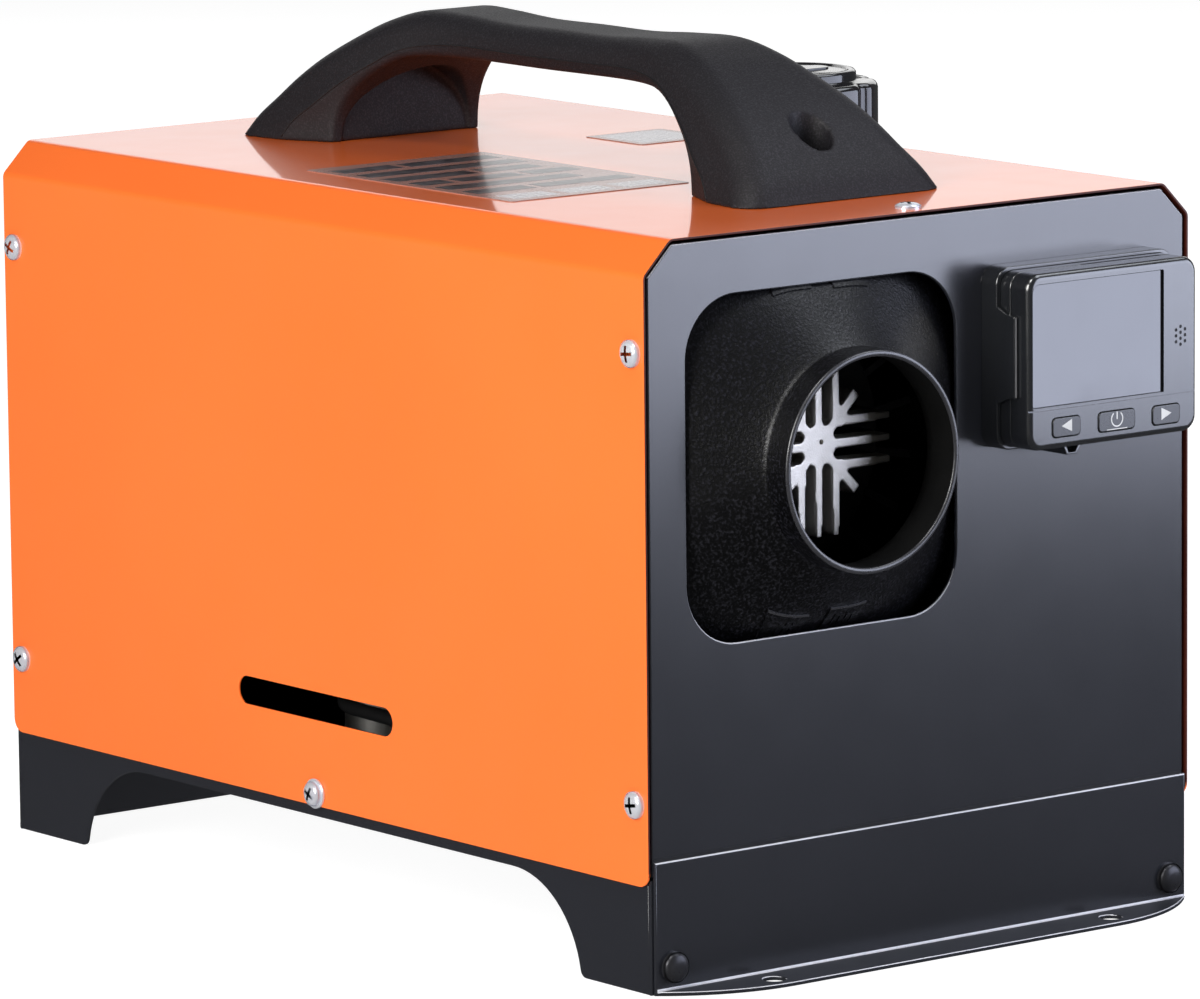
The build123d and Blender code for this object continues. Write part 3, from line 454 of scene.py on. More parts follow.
# painted shade: the tank and filter inside the case are painted near black, as they sit in shadow
tankPaintedShade = finish("tankPlasticPaintedShade", (0.014, 0.014, 0.014), (0.018, 0.018, 0.018), 0.50, 0.06,
                     (500, 0.02, 0.4), 12)
hosePlastic = finish("fuelHosePlastic", (0.016, 0.016, 0.017), (0.022, 0.022, 0.023), 0.35, 0.05, patch=40)
boardResin = finish("circuitBoardResin", (0.015, 0.11, 0.045), (0.012, 0.09, 0.035), 0.30, 0.05,
                    (1200, 0.02, 0.4), 70)
symbolInk = finish("symbolInk", (0.62, 0.62, 0.60), (0.54, 0.54, 0.52), 0.50, 0.05, (2000, 0.02, 0.4), 200)
# painted shade: near black for recesses, gaps and lines that lie in shadow
paintedShadeBlack = finish("deepPaintedShade", (0.004, 0.004, 0.005), (0.006, 0.006, 0.007), 0.6, 0.05, patch=100)
labelField = finish("labelBlankField", (0.50, 0.46, 0.48), (0.44, 0.41, 0.43), 0.26, 0.04, patch=90,
                    coat=(0.3, 0.10))


def screenFinish():
    shader = Shader("screenPanel")
    mixed = shader.blend(shader.noise(30, 2), (0.012, 0.014, 0.022), (0.018, 0.021, 0.031))
    smear = shader.remap(shader.noise(55, 4), 0.35, 0.75, 0.05, 0.16)
    return shader.put(colour=mixed, rough=smear, coat=0.9, coatRough=0.04, specular=0.8)


def labelFinish():
    # bare satin film, with a broad fade and a fine print grain
    shader = Shader("labelFilm")
    fade = shader.noise(25, 3)
    mixed = shader.blend(shader.remap(fade, 0.3, 0.7), (0.40, 0.20, 0.16), (0.34, 0.17, 0.14))
    return shader.put(colour=mixed, rough=shader.remap(fade, 0.3, 0.7, 0.22, 0.30), coat=0.3, coatRough=0.10,
                      normal=shader.bump(shader.noise(1800, 2), 0.15, 0.01))


def printFinish():
    # plain dark tone along each row, softly mottled
    shader = Shader("labelPrintTone")
    mottle = shader.remap(shader.noise(420, 2, 0.5, shader.stretched((0.3, 1.0, 1.0))), 0.35, 0.70)
    mixed = shader.blend(mottle, (0.020, 0.020, 0.023), (0.13, 0.12, 0.13))
    return shader.put(colour=mixed, rough=0.30, coat=0.3, coatRough=0.10)


screenGloss, labelFilm, labelInk = screenFinish(), labelFinish(), printFinish()

# every CAD node that stays in view gets its finish here
nodeFinishes = {
    blackPaint: "base_tray heater_shelf", shellPlastic: "upper_shell lower_shell combustion_impeller",
    drawnSteel: "combustion_tube", zincSteel: "glow_plug motor cradle_screws handle_nuts",
    brassMetal: "overheat_sensor motor_bearings fuel_pickup", castAluminium: "blower_housing",
    groundSteel: "rotor_shaft pump_plunger", casePlastic: "control_unit buzzer",
    sealRubber: "flange_gasket pump_mount", tankPaintedShade: "fuel_tank fuel_filter", blackSteel: "pump_body",
    boardResin: "button_board", hosePlastic: "suction_line filter_line delivery_line",
    screenGloss: "display_module",
}
for nodeFinish, nodeNames in nodeFinishes.items():
    for nodeName in nodeNames.split():
        paint(nodes[nodeName], nodeFinish)
print("materials done")


class Maker:
    # a geometry node tree with named inputs; build() bakes it to a plain mesh
    def __init__(self, name, inputs):
        self.tree = bpy.data.node_groups.new(name, "GeometryNodeTree")
        face = self.tree.interface
        face.new_socket("Geometry", in_out="INPUT", socket_type="NodeSocketGeometry")
        kinds = {float: "NodeSocketFloat", int: "NodeSocketInt", type(None): "NodeSocketMaterial"}
        self.ids = {}
        for label, default in inputs.items():
            socket = face.new_socket(label, in_out="INPUT", socket_type=kinds[type(default)])
            if default is not None:
                socket.default_value = default
            self.ids[label] = socket.identifier
        face.new_socket("Geometry", in_out="OUTPUT", socket_type="NodeSocketGeometry")
        self.given = self.tree.nodes.new("NodeGroupInput").outputs
        self.result = self.tree.nodes.new("NodeGroupOutput").inputs["Geometry"]

    def get(self, kind, inputs=None, **settings):
        # first output of a new node
        kind = kind if kind.startswith(("Shader", "Function")) else "GeometryNode" + kind
        return addNode(self.tree, kind, inputs or {}, **settings).outputs[0]

    def math(self, operation, a, b=0.0):
        return self.get("ShaderNodeMath", {0: a, 1: b}, operation=operation)

    def times(self, a, b=mm):
        return self.math("MULTIPLY", a, b)

    def vector(self, x=0.0, y=0.0, z=0.0):
        return self.get("ShaderNodeCombineXYZ", {"X": x, "Y": y, "Z": z})

    def above(self, value, limit):
        return self.get("FunctionNodeCompare", {"A": value, "B": limit}, data_type="FLOAT",
                        operation="GREATER_THAN")

    def end(self, geometry):
        real = self.get("RealizeInstances", {"Geometry": geometry})
        self.tree.links.new(self.get("SetMaterial", {"Geometry": real, "Material": self.given["Material"]}),
                            self.result)
        return self

    def build(self, name, base, values):
        obj = addObject(name, base)
        modifier = obj.modifiers.new("make", "NODES")
        modifier.node_group = self.tree
        for label, value in values.items():
            modifier[self.ids[label]] = value
        return bakeModifiers(obj)


def pointsMesh(name, places):
    # places: (point in mm, outward direction)
    mesh = bpy.data.meshes.new(name)
    mesh.from_pydata([Vector(p) * mm for p, _ in places], [], [])
    facing = mesh.attributes.new("facing", "FLOAT_VECTOR", "POINT")
    for item, (_, direction) in zip(facing.data, places):
        item.vector = direction
    return mesh


def headMaker():
    # domed screw or rivet head on each point, with an optional cross recess, turned at random
    m = Maker("fastenerHeads", {"Head radius": 4.65, "Head height": 2.7, "Shoulder": 0.3,
                                "Recess length": 5.4, "Recess width": 1.1, "Recess depth": 1.5,
                                "Material": None})
    g = m.given
    radius, height = m.times(g["Head radius"]), m.times(g["Head height"])
    sizes = {"Vertices": 48, "Side Segments": 2, "Fill Segments": 9, "Radius": radius, "Depth": height}
    body = m.get("MeshCylinder", sizes, fill_type="TRIANGLE_FAN")
    x, y, z = addNode(m.tree, "ShaderNodeSeparateXYZ", {"Vector": m.get("InputPosition")}).outputs
    out = m.math("DIVIDE", m.math("SQRT", m.math("ADD", m.times(x, x), m.times(y, y))), radius)
    inside = m.math("MAXIMUM", m.math("SUBTRACT", 1.0, m.math("POWER", out, 2.6)))
    fall = m.math("SUBTRACT", 1.0, m.math("SQRT", inside))
    drop = m.times(m.times(fall, m.math("SUBTRACT", 1.0, g["Shoulder"])), height)
    top = m.above(z, 0.00001)
    domed = m.get("SetPosition", {"Geometry": body, "Selection": top,
                                  "Offset": m.vector(z=m.times(drop, -1.0))})
    raised = m.get("Transform", {"Geometry": domed, "Translation": m.vector(z=m.times(height, 0.5))})
    carve = addNode(m.tree, "GeometryNodeMeshBoolean", {"Mesh 1": raised}, operation="DIFFERENCE")
    long, wide, deep = (m.times(g["Recess " + side]) for side in ("length", "width", "depth"))
    for across, along in ((long, wide), (wide, long)):
        bar = m.get("MeshCube", {"Size": m.vector(across, along, m.times(deep, 2.0))})
        bar = m.get("Transform", {"Geometry": bar, "Translation": m.vector(z=height)})
        m.tree.links.new(bar, carve.inputs["Mesh 2"])
    shapes = {"Switch": m.above(g["Recess length"], 1.0), "False": raised, "True": carve.outputs["Mesh"]}
    head = m.get("SetShadeSmooth", {"Geometry": m.get("Switch", shapes, input_type="GEOMETRY"),
                                    "Shade Smooth": True})
    facing = m.get("InputNamedAttribute", {"Name": "facing"}, data_type="FLOAT_VECTOR")
    aligned = m.get("FunctionNodeAlignRotationToVector", {"Vector": facing}, axis="Z")
    random = addNode(m.tree, "FunctionNodeRandomValue", {2: 0.0, 3: 1.5, "Seed": 7}, data_type="FLOAT")
    spin = m.vector(z=random.outputs[1])
    turned = m.get("FunctionNodeRotateRotation", {"Rotation": aligned, "Rotate By": spin},
                   rotation_space="LOCAL")
    return m.end(m.get("InstanceOnPoints", {"Points": g["Geometry"], "Instance": head, "Rotation": turned}))


def radialMaker():
    # a box-shaped rib, blade or spoke repeated round a hub, with a pitch
    m = Maker("radialRibs", {"Count": 20, "Inner radius": 44.0, "Outer radius": 60.0, "Thickness": 2.5,
                             "Length": 180.0, "Pitch": 0.0, "First angle": 0.0, "Material": None})
    g = m.given
    span = m.math("SUBTRACT", g["Outer radius"], g["Inner radius"])
    size = m.vector(m.times(span), m.times(g["Length"]), m.times(g["Thickness"]))
    bar = m.get("MeshCube", {"Size": size, "Vertices X": 6, "Vertices Y": 4, "Vertices Z": 2})
    shift = m.vector(m.times(m.math("ADD", g["Outer radius"], g["Inner radius"]), 0.5 * mm))
    blade = m.get("Transform", {"Geometry": bar, "Translation": shift, "Rotation": m.vector(g["Pitch"])})
    line = m.get("MeshLine", {"Count": g["Count"], "Offset": (0.0, 0.0, 0.0)})
    step = m.math("DIVIDE", 2 * pi, g["Count"])
    turn = m.math("ADD", m.times(m.get("InputIndex"), step), g["First angle"])
    return m.end(m.get("InstanceOnPoints", {"Points": line, "Instance": blade,
                                            "Rotation": m.vector(y=turn)}))


def ringMaker():
    # evenly spaced rings of square section about the Y axis
    m = Maker("grilleRings", {"Count": 3, "First radius": 14.0, "Spacing": 12.0, "Width": 2.2, "Depth": 3.0,
                              "Material": None})
    g = m.given
    line = m.get("MeshLine", {"Count": g["Count"], "Offset": (0.0, 0.0, 0.0)})
    circle = m.get("CurvePrimitiveCircle", {"Resolution": 72, "Radius": 1.0}, mode="RADIUS")
    radius = m.times(m.math("ADD", g["First radius"], m.times(m.get("InputIndex"), g["Spacing"])))
    size = m.vector(radius, radius, radius)
    placed = m.get("InstanceOnPoints", {"Points": line, "Instance": circle, "Scale": size})
    rings = m.get("RealizeInstances", {"Geometry": placed})
    section = m.get("CurvePrimitiveQuadrilateral",
                    {"Width": m.times(g["Width"]), "Height": m.times(g["Depth"])})
    swept = m.get("CurveToMesh", {"Curve": rings, "Profile Curve": section})
    return m.end(m.get("Transform", {"Geometry": swept, "Rotation": (pi / 2, 0.0, 0.0)}))


headTree, radialTree, ringTree = headMaker(), radialMaker(), ringMaker()
blank = bpy.data.meshes.new("blank")
print("geometry node trees done")


# orange cover

coverSizes = Sizes(halfWidth=120.0, halfLength=185.5, top=252.5, bottom=36.5, bevel=11.4, bend=3.5,
                   sheet=0.8, lowerCorner=5.0, edge=0.2, slot=(90.0, 10.0, 72.0), filler=(74, -27, 24.5),
                   middle=150, reach=130)


def bentOutline(inset, bottom, bend, perBend=6):
    # case section from the bottom right, over the top, to the bottom left
    s = coverSizes
    half, top = s.halfWidth - inset, s.top - inset
    bevel = s.bevel - (2 - sqrt(2)) * inset
    right = [((half, bottom), 0), ((half, top - bevel), bend), ((half - bevel, top), bend)]
    return filletedRing(right + [((-u, v), radius) for (u, v), radius in reversed(right)], perBend)


def makeCover():
    s = coverSizes
    inner = bentOutline(s.sheet, s.bottom, s.bend - s.sheet)
    section = bentOutline(0, s.bottom, s.bend) + inner[::-1]
    cover = prism("coverSheet", section, -s.halfLength, s.halfLength)
    length, height, z = s.slot
    slotShape = [(u, v + z) for u, v in roundedRing(length / 2, height / 2, height / 2, 10)]
    x, y, radius = s.filler
    cutters = [prism("slotCutter", slotShape, -s.reach, -110, "X"),
               prism("fillerCutter", circlePoints(x, y, radius, 72), 245, 260, "Z")]
    corner, end, low = s.lowerCorner, s.halfLength, s.bottom
    rounded = arc(end - corner, low + corner, corner, -90, 0, 6)
    rounded += [(end + 2, low + corner), (end + 2, low - 2), (end - corner, low - 2)]
    for side in (-1, 1):  # rounded lower corners of both side sheets
        cutters.append(prism("cornerCutter", [(side * u, v) for u, v in rounded], -s.reach, s.reach, "X"))
    cut(cover, cutters)
    outward(cover.data)
    softenEdges(cover, s.edge)
    paint(cover, orangePaint)
    # painted shade: the cut front edges and the inside of the folded sheet are painted dark maroon, as they
    # lie in shadow
    cover.data.materials.append(coverPaintedShade)
    for face in cover.data.polygons:  # cut front edges and the inside of the folded sheet
        x, y, z = face.center / mm
        inward = face.normal.dot(Vector((x, 0, z - s.middle)).normalized()) < -0.5
        if inward or abs(face.normal.y) > 0.9 and abs(y) > s.halfLength - 0.1:
            face.material_index = 1
    finished(smoothShade(cover), "cover")


makeCover()
print("cover done")


# black end panels, skirts and foot plates

panelSizes = Sizes(inset=2.0, sheet=1.5, face=185.0, bottom=40.0, opening=117.0, openingRadius=21.0,
                   edge=0.55, openingCentre=(-43.5, 173.3), bend=1.5, innerBend=0.8, flange=15.5,
                   flangeBottom=52)


def makeEndPanel(name, side):
    s = panelSizes
    border = bentOutline(s.inset, s.bottom, s.bend, 4)
    cx, cz = s.openingCentre
    ring = roundedRing(s.opening / 2, s.opening / 2, s.openingRadius, 14)
    opening = [(cx + u, cz + v) for u, v in ring]
    place = facingFront(side * (s.face - s.sheet / 2))
    # painted highlight: the face's edges that face up and along the case are painted light grey
    face = paintHighlightEdges(paint(plate(name + "Face", [border, opening], s.sheet, place, s.edge, 3), blackPaint))
    outer = bentOutline(s.inset + 0.02, s.flangeBottom, s.bend, 4)
    inner = bentOutline(s.inset + s.sheet, s.flangeBottom, s.innerBend, 4)
    y0, y1 = sorted((side * (s.face - s.sheet), side * (s.face - s.sheet - s.flange)))
    flange = paint(prism(name + "Flange", outer + inner[::-1], y0, y1), blackPaint)
    finished(smoothShade(join(name + "Sheet", [face, flange])), name)


makeEndPanel("front_panel", -1)
makeEndPanel("rear_panel", 1)

skirtSizes = Sizes(face=118.6, sheet=1.5, top=50.0, halfLength=183.5, archHeight=32.3, archHalf=108.0,
                   archRadius=37.2, archMiddle=-2.0, footCorner=3.0, flange=14.0, flapTop=39, edge=0.4)


def archSide(way):
    # one end of the arch, from the rounded foot corner up to the flat middle
    s = skirtSizes
    radius, corner = s.archRadius, s.footCorner
    drop = radius - s.archHeight
    cornerAt = s.archHalf + sqrt((radius + corner) ** 2 - (corner + drop) ** 2)
    meet = degrees(atan2(corner + drop, cornerAt - s.archHalf))
    points = arc(cornerAt, corner, corner, -90, meet - 180, 5)
    points += arc(s.archHalf, -drop, radius, meet, 90, 16)[1:]
    return [(way * u + s.archMiddle, v) for u, v in points]


def makeSkirt(name, side):
    s = skirtSizes
    half, top = s.halfLength, s.top
    outline = [(-half, 0), (-half, top), (half, top), (half, 0)] + archSide(1) + archSide(-1)[::-1]
    parts = [plate(name + "Side", [outline], s.sheet, facingSide(side * (s.face - s.sheet / 2)), s.edge)]
    x0, x1 = sorted((side * (s.face - s.sheet - s.flange), side * s.face))
    for end in (-1, 1):
        place = facingFront(end * (half + s.sheet / 2))
        parts.append(plate(name + "Flap", [rectangle(x0, x1, 0, s.flapTop)], s.sheet, place, s.edge))
    skirt = join(name + "Sheet", [paint(part, blackPaint) for part in parts])
    finished(smoothShade(skirt), name)


makeSkirt("left_skirt", -1)
makeSkirt("right_skirt", 1)

footSizes = Sizes(halfWidth=118.0, face=186.5, sheet=1.5, height=45.0, front=204.0, flatHalf=72.0,
                  endRadius=68.0, hole=(75.0, 196.0, 4.0), edge=0.45, topEdge=0.7, bend=0.75)


def makeFootPlate(name, side):
    s = footSizes
    half, radius, bend, sheet = s.halfWidth, s.endRadius, s.bend, s.sheet
    endTurn = degrees(asin((half - s.flatHalf) / radius))
    outline = [(half, s.face - 1.0)] + arc(s.flatHalf, s.front - radius, radius, 90 - endTurn, 90, 12)
    outline += [(-u, v) for u, v in reversed(outline)]
    x, y, hole = s.hole
    shapes = [outline, circlePoints(-x, y, hole), circlePoints(x, y, hole)]
    flat = [[(u, side * v) for u, v in shape] for shape in shapes]
    lip = plate(name + "Lip", flat, sheet, Matrix.Translation((0, 0, sheet / 2 * mm)), s.edge, 3)
    place = facingFront(side * (s.face - sheet / 2))
    wall = plate(name + "Wall", [rectangle(-half, half, 0, s.height)], sheet, place, s.topEdge, 3)
    fold = arc(s.face + bend, sheet + bend, bend, 180, 270, 6)
    fold += [(s.face + bend, sheet - 0.4), (s.face - 0.4, sheet - 0.4), (s.face - 0.4, sheet + bend)]
    fold = [(side * u, v) for u, v in fold]
    # painted highlight: a light grey strip along the bend between wall and lip
    crease = paint(prism(name + "Bend", fold, -half + 0.6, half - 0.6, "X"), paintedHighlightEdge)
    # the lip's and wall's upward edges get the painted highlight too
    for part, coat in ((lip, lipPaint), (wall, blackPaint)):
        paintHighlightEdges(paint(part, coat))
    # painted shadow: a thin near black strip just under the end panel's lower edge
    under = side * (panelSizes.face + 0.06)
    gap = rectangle(under, under - side * 0.04, s.height - 0.5, s.height + 0.9)
    shadowLine = paint(prism(name + "PaintedShadowLine", gap, -half + 0.8, half - 0.8, "X"), paintedShadeBlack)
    foot = join(name + "Sheet", [wall, lip, crease, shadowLine])
    finished(smoothShade(foot), name)


makeFootPlate("front_foot_plate", -1)
makeFootPlate("rear_foot_plate", 1)
print("sheet metal done")


# screws, washers and rivets

screwSizes = Sizes(
    panRadius=4.65, panHeight=2.7, side=(120.0, 179.0, (215.0, 64.0)), sill=(121.0, 41.0),
    top=(178.0, 252.5), rivet=(110.3, 9.0, 5.25, 3.2), footFace=186.5, shoulder=0.22, washerFace=120.0,
    washer=[(2.4, 0.0), (5.05, 0.0), (5.25, 0.2), (5.25, 0.8), (5.05, 1.0), (2.4, 1.0)])


def makeFasteners():
    s = screwSizes
    sides = (-1, 1)
    x, y, heights = s.side
    sidePlaces = [((side * x, end * y, z), (side, 0, 0))
                  for side in sides for end in (1, -1) for z in heights]
    sillX, sillZ = s.sill
    sillPlaces = [((side * sillX, 0, sillZ), (side, 0, 0)) for side in sides]
    topPlaces = [((0, side * s.top[0], s.top[1]), (0, 0, 1)) for side in sides]
    x, z, rivetRadius, rivetHeight = s.rivet
    rivetPlaces = [((sx * x, sy * s.footFace, z), (0, sy, 0)) for sx in sides for sy in sides]
    jobs = [
        ("sideScrewHeads", sidePlaces, s.panRadius, s.panHeight, 5.6, zincSteel, "side_screws",
         "screw_steel"),
        ("sillScrewHeads", sillPlaces, s.panRadius - 0.4, 2.5, 5.2, zincSteel, "sill_screws", "screw_steel"),
        ("topScrewHeads", topPlaces, s.panRadius - 0.2, 2.1, 5.2, zincSteel, "top_screws", "screw_black"),
        ("footRivetHeads", rivetPlaces, rivetRadius, rivetHeight, 0.0, blackSteel, "foot_rivets",
         "screw_black"),
    ]
    for name, places, radius, height, recess, material, node, slot in jobs:
        values = {"Head radius": radius, "Head height": height, "Shoulder": s.shoulder,
                  "Recess length": recess, "Recess width": 1.15, "Recess depth": 1.5, "Material": material}
        heads = headTree.build(name, pointsMesh(name, places), values)
        heads.data.set_sharp_from_angle(angle=radians(40))
        # painted shade: the cross recess and a ring at the foot of each head, where its shadow falls, are
        # painted near black
        heads.data.materials.append(paintedShadeBlack)
        for face in heads.data.polygons:  # the cross recess and the gap under the head are dark
            place, facing = min(places, key=lambda item: (face.center / mm - Vector(item[0])).length)
            off = face.center / mm - Vector(place)
            along = off.dot(Vector(facing))
            out = min((off - along * Vector(facing)).length / radius, 1.0)
            dome = height * (1 - (1 - s.shoulder) * (1 - sqrt(1 - out ** 2.6)))
            inRecess = recess > 0 and out < 0.7 and 0.3 < along < dome - 0.25
            if inRecess or out > 0.96 and along < 0.2 * height:
                face.material_index = 1
        finished(heads, node)
    washers = []
    for side in sides:
        profile = [(r, side * (h + s.washerFace)) for r, h in s.washer]
        washers.append(paint(lathe("washer", profile, (0, 0, sillZ), "X", 64), zincSteel))
    finished(smoothShade(join("sillWasherRings", washers)), "sill_washers")


makeFasteners()
print("fasteners done")


# carrying handle

# stations from one foot to the middle: outer y and z, inner y and z, half widths outside, at the mould seam
# and inside, how far out the seam is, corner radii outside and inside
handleSizes = Sizes(
    stations=[(147.5, 252.5, 102.4, 252.5, 45.5, 42.2, 33.0, 0.45, 9.0, 3.0),
              (143.0, 260.0, 101.5, 259.5, 41.2, 40.0, 32.6, 0.38, 9.5, 3.0),
              (136.0, 267.1, 99.2, 265.5, 37.5, 37.2, 31.7, 0.27, 10.0, 3.2),
              (127.5, 274.8, 95.0, 271.3, 34.4, 34.2, 30.3, 0.20, 10.0, 3.5),
              (116.0, 282.9, 89.0, 276.5, 31.4, 31.0, 28.4, 0.16, 10.0, 3.5),
              (102.0, 290.7, 82.0, 281.0, 27.2, 27.9, 26.0, 0.14, 10.0, 3.5),
              (88.0, 297.0, 73.0, 284.8, 23.3, 24.9, 23.6, 0.18, 9.5, 3.0),
              (72.0, 301.2, 62.0, 286.0, 19.9, 21.7, 20.6, 0.24, 9.0, 3.0),
              (52.0, 301.2, 46.0, 286.2, 17.7, 19.2, 18.0, 0.31, 8.5, 3.0),
              (28.0, 300.0, 25.0, 286.0, 17.2, 18.2, 16.4, 0.32, 8.0, 3.0),
              (0.0, 300.1, 0.0, 285.8, 17.6, 18.1, 16.0, 0.32, 8.0, 3.0)],
    webY=103.5, webOpen=60.0, webHalf=29.0, webHeight=27.0, webLow=245.0, webBase=252.4, wellY=127.0,
    wellRadius=7.3, wellFloor=259.5, wellTop=320.0, foot=252.55, voxel=0.8, relax=2, between=6, perCorner=7,
    seamRadius=0.22, bolt=[(0.01, 261.7), (2.5, 261.7), (2.5, 265.4), (4.6, 265.4), (5.0, 265.0),
                           (5.0, 259.5), (3.0, 259.5),
          (3.0, 246.0), (0.01, 246.0)])


def handleStationRing(values, perCorner):
    outerY, outerZ, innerY, innerZ, outerHalf, seamHalf, innerHalf, seamAt, outerRadius, innerRadius = values
    middle = Vector((0, (outerY + innerY) / 2, (outerZ + innerZ) / 2))
    rise = Vector((0, outerY - innerY, outerZ - innerZ))
    depth, up = rise.length / 2, rise.normalized()
    half = [((innerHalf, -depth), innerRadius), ((seamHalf, (2 * seamAt - 1) * depth), 0),
            ((outerHalf, depth), outerRadius)]
    corners = half + [((-u, v), radius) for (u, v), radius in reversed(half)]
    return [middle + Vector((u, 0, 0)) + up * v for u, v in filletedRing(corners, perCorner)]


def handleFrames(half, between):
    # Catmull-Rom through the stations, mirrored about the middle
    chain = half + [(-s[0], s[1], -s[2], *s[3:]) for s in reversed(half[:-1])]
    before, after = (tuple(2 * a - b for a, b in zip(*pair)) for pair in (chain[:2], chain[:-3:-1]))
    chain = [before] + chain + [after]
    frames = []
    for i in range(1, len(chain) - 2):
        for t in [j / between for j in range(between)]:
            near = zip(*chain[i - 1:i + 3])
            frames.append(tuple(0.5 * (2 * b + (c - a) * t + (2 * a - 5 * b + 4 * c - d) * t * t
                                       + (3 * b - a - 3 * c + d) * t ** 3) for a, b, c, d in near))
    return frames + [chain[-2]]


def tubeAlong(name, points, radius, material):
    mesh = curveMesh(name, [[Vector(p) * mm for p in points]], False, dimensions="3D",
                     bevel_depth=radius * mm, bevel_resolution=1, use_fill_caps=True)
    outward(mesh)
    return paint(addObject(name, mesh), material)


def makeHandle():
    s = handleSizes
    rings = [handleStationRing(values, s.perCorner) for values in handleFrames(s.stations, s.between)]
    body = loft("carryHandle", rings)
    arch = [(s.webHalf * u, s.webBase + s.webHeight * v) for u, v in arc(0, 0, 1, 0, 180, 32)]
    arch = [(s.webHalf, s.webLow)] + arch + [(-s.webHalf, s.webLow)]
    well = [(0.01, s.wellTop), (s.wellRadius, s.wellTop), (s.wellRadius, s.wellFloor), (0.01, s.wellFloor)]
    cutters, bolts = [], []
    for side in (-1, 1):
        cutters.append(prism("webCutter", arch, *sorted((side * s.webY, side * s.webOpen))))
        cutters.append(lathe("wellCutter", well, (0, side * s.wellY, 0), "Z", 48))
        bolts.append(paint(lathe("bolt", s.bolt, (0, side * s.wellY, 0), "Z", 48, closed=False), blackSteel))
    castSkin(cut(body, cutters), s.voxel, s.relax)
    for vertex in body.data.vertices:  # the foot stays flat on the cover
        vertex.co.z = max(vertex.co.z, s.foot * mm)
    paint(body, handlePlastic)
    body.data.shade_smooth()
    # painted shade: the mould seam ridges are painted near black, standing in for the thin shadow line along
    # them
    seams = []
    for index in (s.perCorner + 1, len(rings[0]) - s.perCorner - 2):
        line = [ring[index] for ring in rings if ring[index].z > s.foot + 0.45]
        seams.append(tubeAlong("mouldSeam", line, s.seamRadius, paintedShadeBlack))
    finished(join("carryHandleMoulding", [body] + seams), "handle")
    finished(smoothShade(join("handleBoltSet", bolts)), "handle_bolts")


makeHandle()
print("handle done")


# outlet hood and heat exchanger

# stations from the spigot back: y, half width, corner radius
hoodSizes = Sizes(
    axis=(-43.5, 174.5), spigot=37.5, spigotWall=2.2, rim=-211.5, wall=2.5, perCorner=16,
    stations=[(-200.5, 37.8, 37.7), (-199.6, 38.6, 38.2), (-198.0, 40.3, 39.4), (-195.0, 43.6, 41.5),
              (-190.0, 49.5, 44.0), (-186.0, 54.6, 45.0), (-182.0, 59.0, 45.0), (-178.5, 63.2, 43.5),
              (-175.0, 66.5, 41.0), (-171.5, 68.7, 38.3), (-168.0, 69.8, 36.0), (-160.0, 70.0, 35.0),
              (-150.0, 70.0, 35.0)],
    lastInner=(-150.0, 67.5, 32.5))


def squareRing(y, half, corner, perCorner):
    # rounded square about the heater's axis
    cx, cz = hoodSizes.axis
    return [(cx + u, y, cz + v) for u, v in roundedRing(half, half, corner, perCorner)]


def makeHood():
    s = hoodSizes
    cx, cz = s.axis
    r, rim = s.spigot, s.rim
    bore = r - s.spigotWall
    spigot = [(-201.5, r), (-205.0, r), (rim + 1.0, r), (rim + 0.9, r - 0.2), (rim + 0.9, bore + 0.2),
              (rim + 1.0, bore), (-205.0, bore), (-200.0, bore), (-196.5, bore + 0.6)]
    stations = s.stations[::-1] + [(y, half, half - 0.01) for y, half in spigot]
    inner = [(y + 1.2, half - s.wall, corner - s.wall) for y, half, corner in s.stations[4:-1]]
    stations += inner + [s.lastInner]
    hood = loft("outletHoodShell", [squareRing(*station, s.perCorner) for station in stations], closed=True)
    paint(hood, shellPlastic)
    # painted shade: the faces inside the spigot's bore are painted near black
    hood.data.materials.append(borePaintedShade)
    for face in hood.data.polygons:
        x, y, z = face.center / mm
        if hypot(x - cx, z - cz) < bore + 0.3 and y < -196.0:
            face.material_index = 1
    middle, lip = r - s.spigotWall / 2, s.spigotWall / 2 - 0.05
    profile = [(middle + lip * u, rim + 0.75 + 0.72 * v) for u, v in circlePoints(0, 0, 1, 16)]
    # painted highlight: the spigot's rounded lip is a lighter plastic
    lipRing = paint(lathe("spigotLip", profile, (cx, 0, cz), "Y", 128), paintedHighlightPlastic)
    parts = [smoothShade(part, 50) for part in (hood, lipRing)]
    finished(join("outletHoodMoulding", parts), "outlet_hood")


# raised pads near the opening's edges: x from the axis, y, whether above or below, and the mark on it
padSizes = Sizes(
    pads=[(-25.9, -8.6, -187.0, -177.5, -1, "bars"), (0.2, 15.6, -188.0, -177.5, -1, "arches"),
          (-21.0, -4.5, -184.8, -177.5, 1, ""), (4.8, 19.0, -185.4, -177.5, 1, "")],
    height=0.55, markHeight=0.3, steps=12)


def hoodPoint(x, y, way, lift):
    # point on the hood's sloping wall, lifted off it
    s = hoodSizes
    for (y0, h0, c0), (y1, h1, c1) in zip(s.stations, s.stations[1:]):
        if y0 <= y <= y1:
            t = (y - y0) / (y1 - y0)
            half, corner, slope = h0 + (h1 - h0) * t, c0 + (c1 - c0) * t, (h1 - h0) / (y1 - y0)
    across = max(abs(x) - (half - corner), 0.0)
    z = half - corner + sqrt(corner ** 2 - across ** 2)
    out = Vector((copysign(across / corner, x), -slope, sqrt(1 - (across / corner) ** 2))).normalized()
    point = Vector((x, y, z)) + out * lift
    return Vector((s.axis[0] + point.x, point.y, s.axis[1] + way * point.z))


